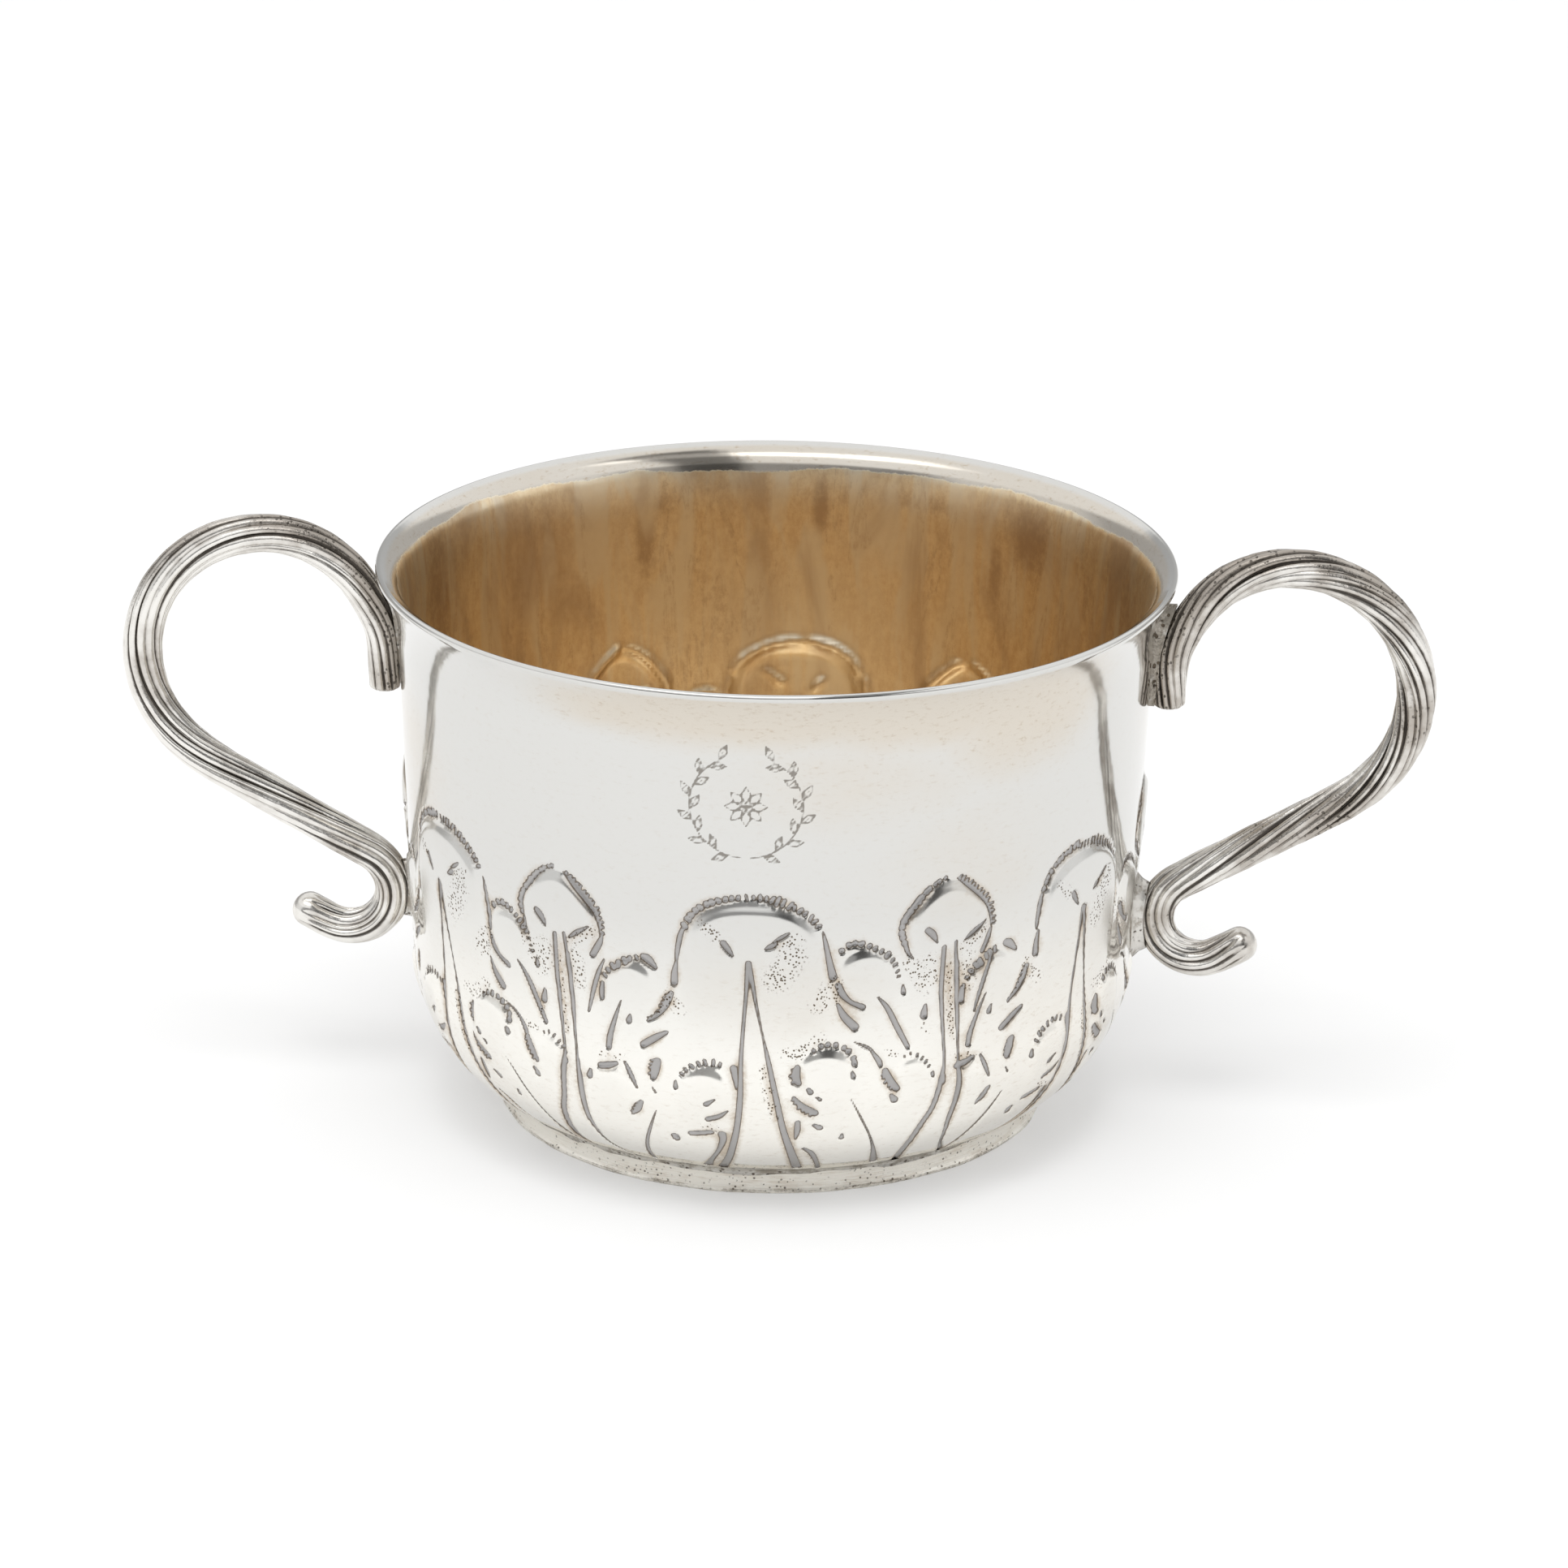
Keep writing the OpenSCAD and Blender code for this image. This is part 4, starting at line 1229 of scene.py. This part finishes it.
for name, node, turn_count, spare_l, tarnish_share, seed, flip in [
    ("left_reeded_handle", "left_handle", 0.9, 1.3, 0.0, 21, True),
    ("right_reeded_handle", "right_handle", 1.7, 0.0, 0.2, 34, False),
]:
    handle = reeded_rod(name, turn_count, spare_l, tarnish_share, seed, flip)
    handle.data.materials.append(rod_finish)
    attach(handle, "root")
    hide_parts(node)

# Handle solder
# Mounds of hard solder that hold each handle to the wall, behind its upper end and behind its scroll.
# They were run in with a torch and never filed, so they are rough and pitted.


def near_side(height, centre_x, centre_z, radius):
    """How far from the axis a bent rod's near side is at a height."""
    rise = min(abs(height - centre_z), radius + handle_r - 0.1)
    return centre_x - math.sqrt((radius + handle_r) ** 2 - rise ** 2)


def softened_run(noise):
    """Random lumps, evened out over a few rows and columns."""
    for axis in (0, 1):
        noise = sum(np.roll(noise, step, axis) for step in (-2, -1, 0, 1, 2)) / 2.2
    return noise


def mound(node, low, high, rod_at, half_w, hug_deg, flare, pitting, seed, flip):
    """Solder between the wall and a rod. It hugs the rod, and its flare spreads it on the wall."""
    on_wall, on_flank, on_rod = 9, 9, 13
    around = on_wall + on_rod + 2 * on_flank
    ring_count = 44
    sink = 0.1
    rng = np.random.default_rng(seed)
    middle_z = (low + high) / 2
    heights = middle_z - (high - low) / 2 * np.cos(np.linspace(0.12, math.pi - 0.12, ring_count))
    bumps = softened_run(rng.uniform(-1, 1, (ring_count, around)))
    flank = np.linspace(0, 1, on_flank + 2)[1:-1]
    to_wall = np.concatenate([np.ones(on_wall), flank[::-1], np.zeros(on_rod), flank])
    rings = []
    for height, bump in zip(heights, bumps):
        taper = math.sqrt(max(1 - abs(2 * (height - low) / (high - low) - 1) ** 2.4, 0))
        across = np.linspace(-half_w * taper, half_w * taper, on_wall)
        wall_side = np.stack([np.sqrt((wall_x(height) - sink) ** 2 - across ** 2), across], -1)
        hug = np.radians(np.linspace(hug_deg, -hug_deg, on_rod)) * taper
        hug_r = 0.9 * handle_r + 0.1 * taper
        rod_side = np.stack([rod_at(height) + handle_r - hug_r * np.cos(hug), hug_r * np.sin(hug)], -1)
        flanks = []
        for start, end, outward in ((wall_side[-1], rod_side[0], 1), (rod_side[-1], wall_side[0], -1)):
            share = flank[:, None]
            sag = 0.22 * taper * np.sin(math.pi * share)
            flanks.append(start * (1 - share) + end * share - sag * np.array([0, outward]))
        outline = np.vstack([wall_side, flanks[0], rod_side, flanks[1]])
        middle = outline.mean(0)
        outline = middle + (outline - middle) * (1 + pitting * 0.07 * bump[:, None])
        spread = height + flare * (height - middle_z) * to_wall ** 2
        rings.append(np.column_stack([outline, spread]))
    points = np.vstack(rings + [rings[0].mean(0, keepdims=True), rings[-1].mean(0, keepdims=True)])
    if flip:
        points = points * (-1, -1, 1)
    low_tip = ring_count * around
    faces = quads(0, around, ring_count)
    faces += fan(low_tip, 0, around, True)
    faces += fan(low_tip + 1, low_tip - around, around, False)
    made = build(node + "_mound", points, faces)
    paint(made, "pitting", np.full(len(points), pitting))
    made.data.materials.append(solder_finish)
    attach(made, "root")
    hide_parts(node)


def by_leg(height):
    return near_side(max(height, rise_z), rise_x, rise_z, rise_r)


def by_scroll(height):
    return near_side(height, scroll_x, scroll_z, scroll_r)


leg_low = rise_z - leg_l
mound("left_upper_solder", leg_low + 2.0, 66.0, by_leg, 1.5, 30, 0.0, 1.0, 3, True)
mound("right_upper_solder", leg_low + 0.2, 66.2, by_leg, 1.8, 42, 0.0, 1.4, 4, False)
mound("left_lower_solder", 21.2, 28.8, by_scroll, 1.6, 32, 0.1, 0.5, 5, True)
mound("right_lower_solder", 20.6, 29.4, by_scroll, 2.6, 52, 0.35, 0.2, 6, False)

# Studio
# A white sweep of paper under a wide soft light, with the darker room round it that polished metal mirrors.
floor_half = 8.0
floor_mesh = bpy.data.meshes.new("sweep")
corners = [(-1, -1), (1, -1), (1, 1), (-1, 1)]
floor_mesh.from_pydata([(x * floor_half, y * floor_half, 0) for x, y in corners], [], [(0, 1, 2, 3)])
floor = bpy.data.objects.new("sweep", floor_mesh)
bpy.context.collection.objects.link(floor)

# The paper glows a little where the lens or a mirror sees it, so that it comes out white.
paper_white = (0.92, 0.92, 0.92, 1)
glow_share = 0.34
paper = bpy.data.materials.new("white_paper")
paper.use_nodes = True
sheet = Wire(paper.node_tree)
rays = ("Is Camera Ray", "Is Glossy Ray", "Is Transmission Ray")
seen = [sheet.node("ShaderNodeLightPath", {}, {}, out=ray) for ray in rays]
glow = glow_share * sheet.math("MINIMUM", seen[0] + seen[1] + seen[2], 1.0)
matte = sheet.node("ShaderNodeBsdfDiffuse", {}, {"Color": paper_white})
white = sheet.node("ShaderNodeEmission", {}, {"Color": (1, 1, 1, 1), "Strength": 1.0})
mixed = sheet.node("ShaderNodeMixShader", {}, {0: glow, 1: matte, 2: white})
paper.node_tree.links.new(mixed.socket, paper.node_tree.nodes["Material Output"].inputs["Surface"])
floor_mesh.materials.append(paper)

# The camera stands where the lip and the foot ring have the shapes that the photograph shows.
camera_azimuth = math.radians(4.0)
camera_elevation = math.radians(20.512)
camera_roll = math.radians(0.696)
camera_distance = 841.5
camera_right = np.array([math.cos(camera_azimuth), math.sin(camera_azimuth), 0])
camera_back = np.array([
    math.sin(camera_azimuth) * math.cos(camera_elevation),
    -math.cos(camera_azimuth) * math.cos(camera_elevation),
    math.sin(camera_elevation),
])
camera_up = np.cross(camera_back, camera_right)
target = 1.2075 * camera_right + np.array([0, 0, 40.64])
photo_size = 1932
focal_pixels = 8307.26
sensor = 36.0

lens = bpy.data.cameras.new("camera")
lens.sensor_width = sensor
lens.lens = focal_pixels / photo_size * sensor
lens.clip_start = 0.01
camera = bpy.data.objects.new("camera", lens)
bpy.context.collection.objects.link(camera)
rolled_right = camera_right * math.cos(camera_roll) + camera_up * math.sin(camera_roll)
rolled_up = camera_up * math.cos(camera_roll) - camera_right * math.sin(camera_roll)
stand = (target + camera_distance * camera_back) * MM
camera.matrix_world = Matrix([
    (rolled_right[k], rolled_up[k], camera_back[k], stand[k]) for k in range(3)
] + [(0, 0, 0, 1)])
bpy.context.scene.camera = camera

# The room has walls of uneven brightness, a dark gap between them on the right, and a softbox overhead.
room = bpy.data.worlds.new("studio")
room.use_nodes = True
bpy.context.scene.world = room
sky = Wire(room.node_tree)
toward = sky.node("ShaderNodeTexCoord", {}, {}, out="Generated")
ahead, right, up = (
    sky.node("ShaderNodeVectorMath", {"operation": "DOT_PRODUCT"}, {0: toward, 1: axis}, out="Value")
    for axis in ((camera_right[1], -camera_right[0], 0), tuple(camera_right), (0, 0, 1))
)
walls = 0.45 + 0.35 * ahead.between(-0.55, -0.15) - 0.5 * ahead.between(0.45, 0.75)
walls = walls + 0.1 * right.between(-0.6, 0.6)
gap = right.between(0.14, 0.2) * (1 - right.between(0.46, 0.54)) * ahead.between(-0.1, 0.1)
overhead = up.between(0.36, 0.46)
softbox = 1.0 + 1.3 * ahead.between(-0.05, 0.3) * up.between(0.76, 0.84) * (1 - up.between(0.9, 0.95))
level = (walls * (1 - overhead) + softbox * overhead) * (1 - 0.8 * gap)
room.node_tree.links.new(level.socket, room.node_tree.nodes["Background"].inputs["Strength"])
room.node_tree.nodes["Background"].inputs["Color"].default_value = (1, 1, 1, 1)

# A lamp over the cup draws its shadow together on the paper. Metal doesn't mirror it.
lamp_glow = bpy.data.lights.new("overhead_lamp", "AREA")
lamp_glow.size = 0.65
lamp_glow.energy = 6.0
lamp = bpy.data.objects.new("overhead_lamp", lamp_glow)
lamp.location = (0, -0.36, 1.3)
lamp.visible_glossy = False
lamp.visible_camera = False
bpy.context.collection.objects.link(lamp)

bpy.context.scene.view_settings.view_transform = "Standard"
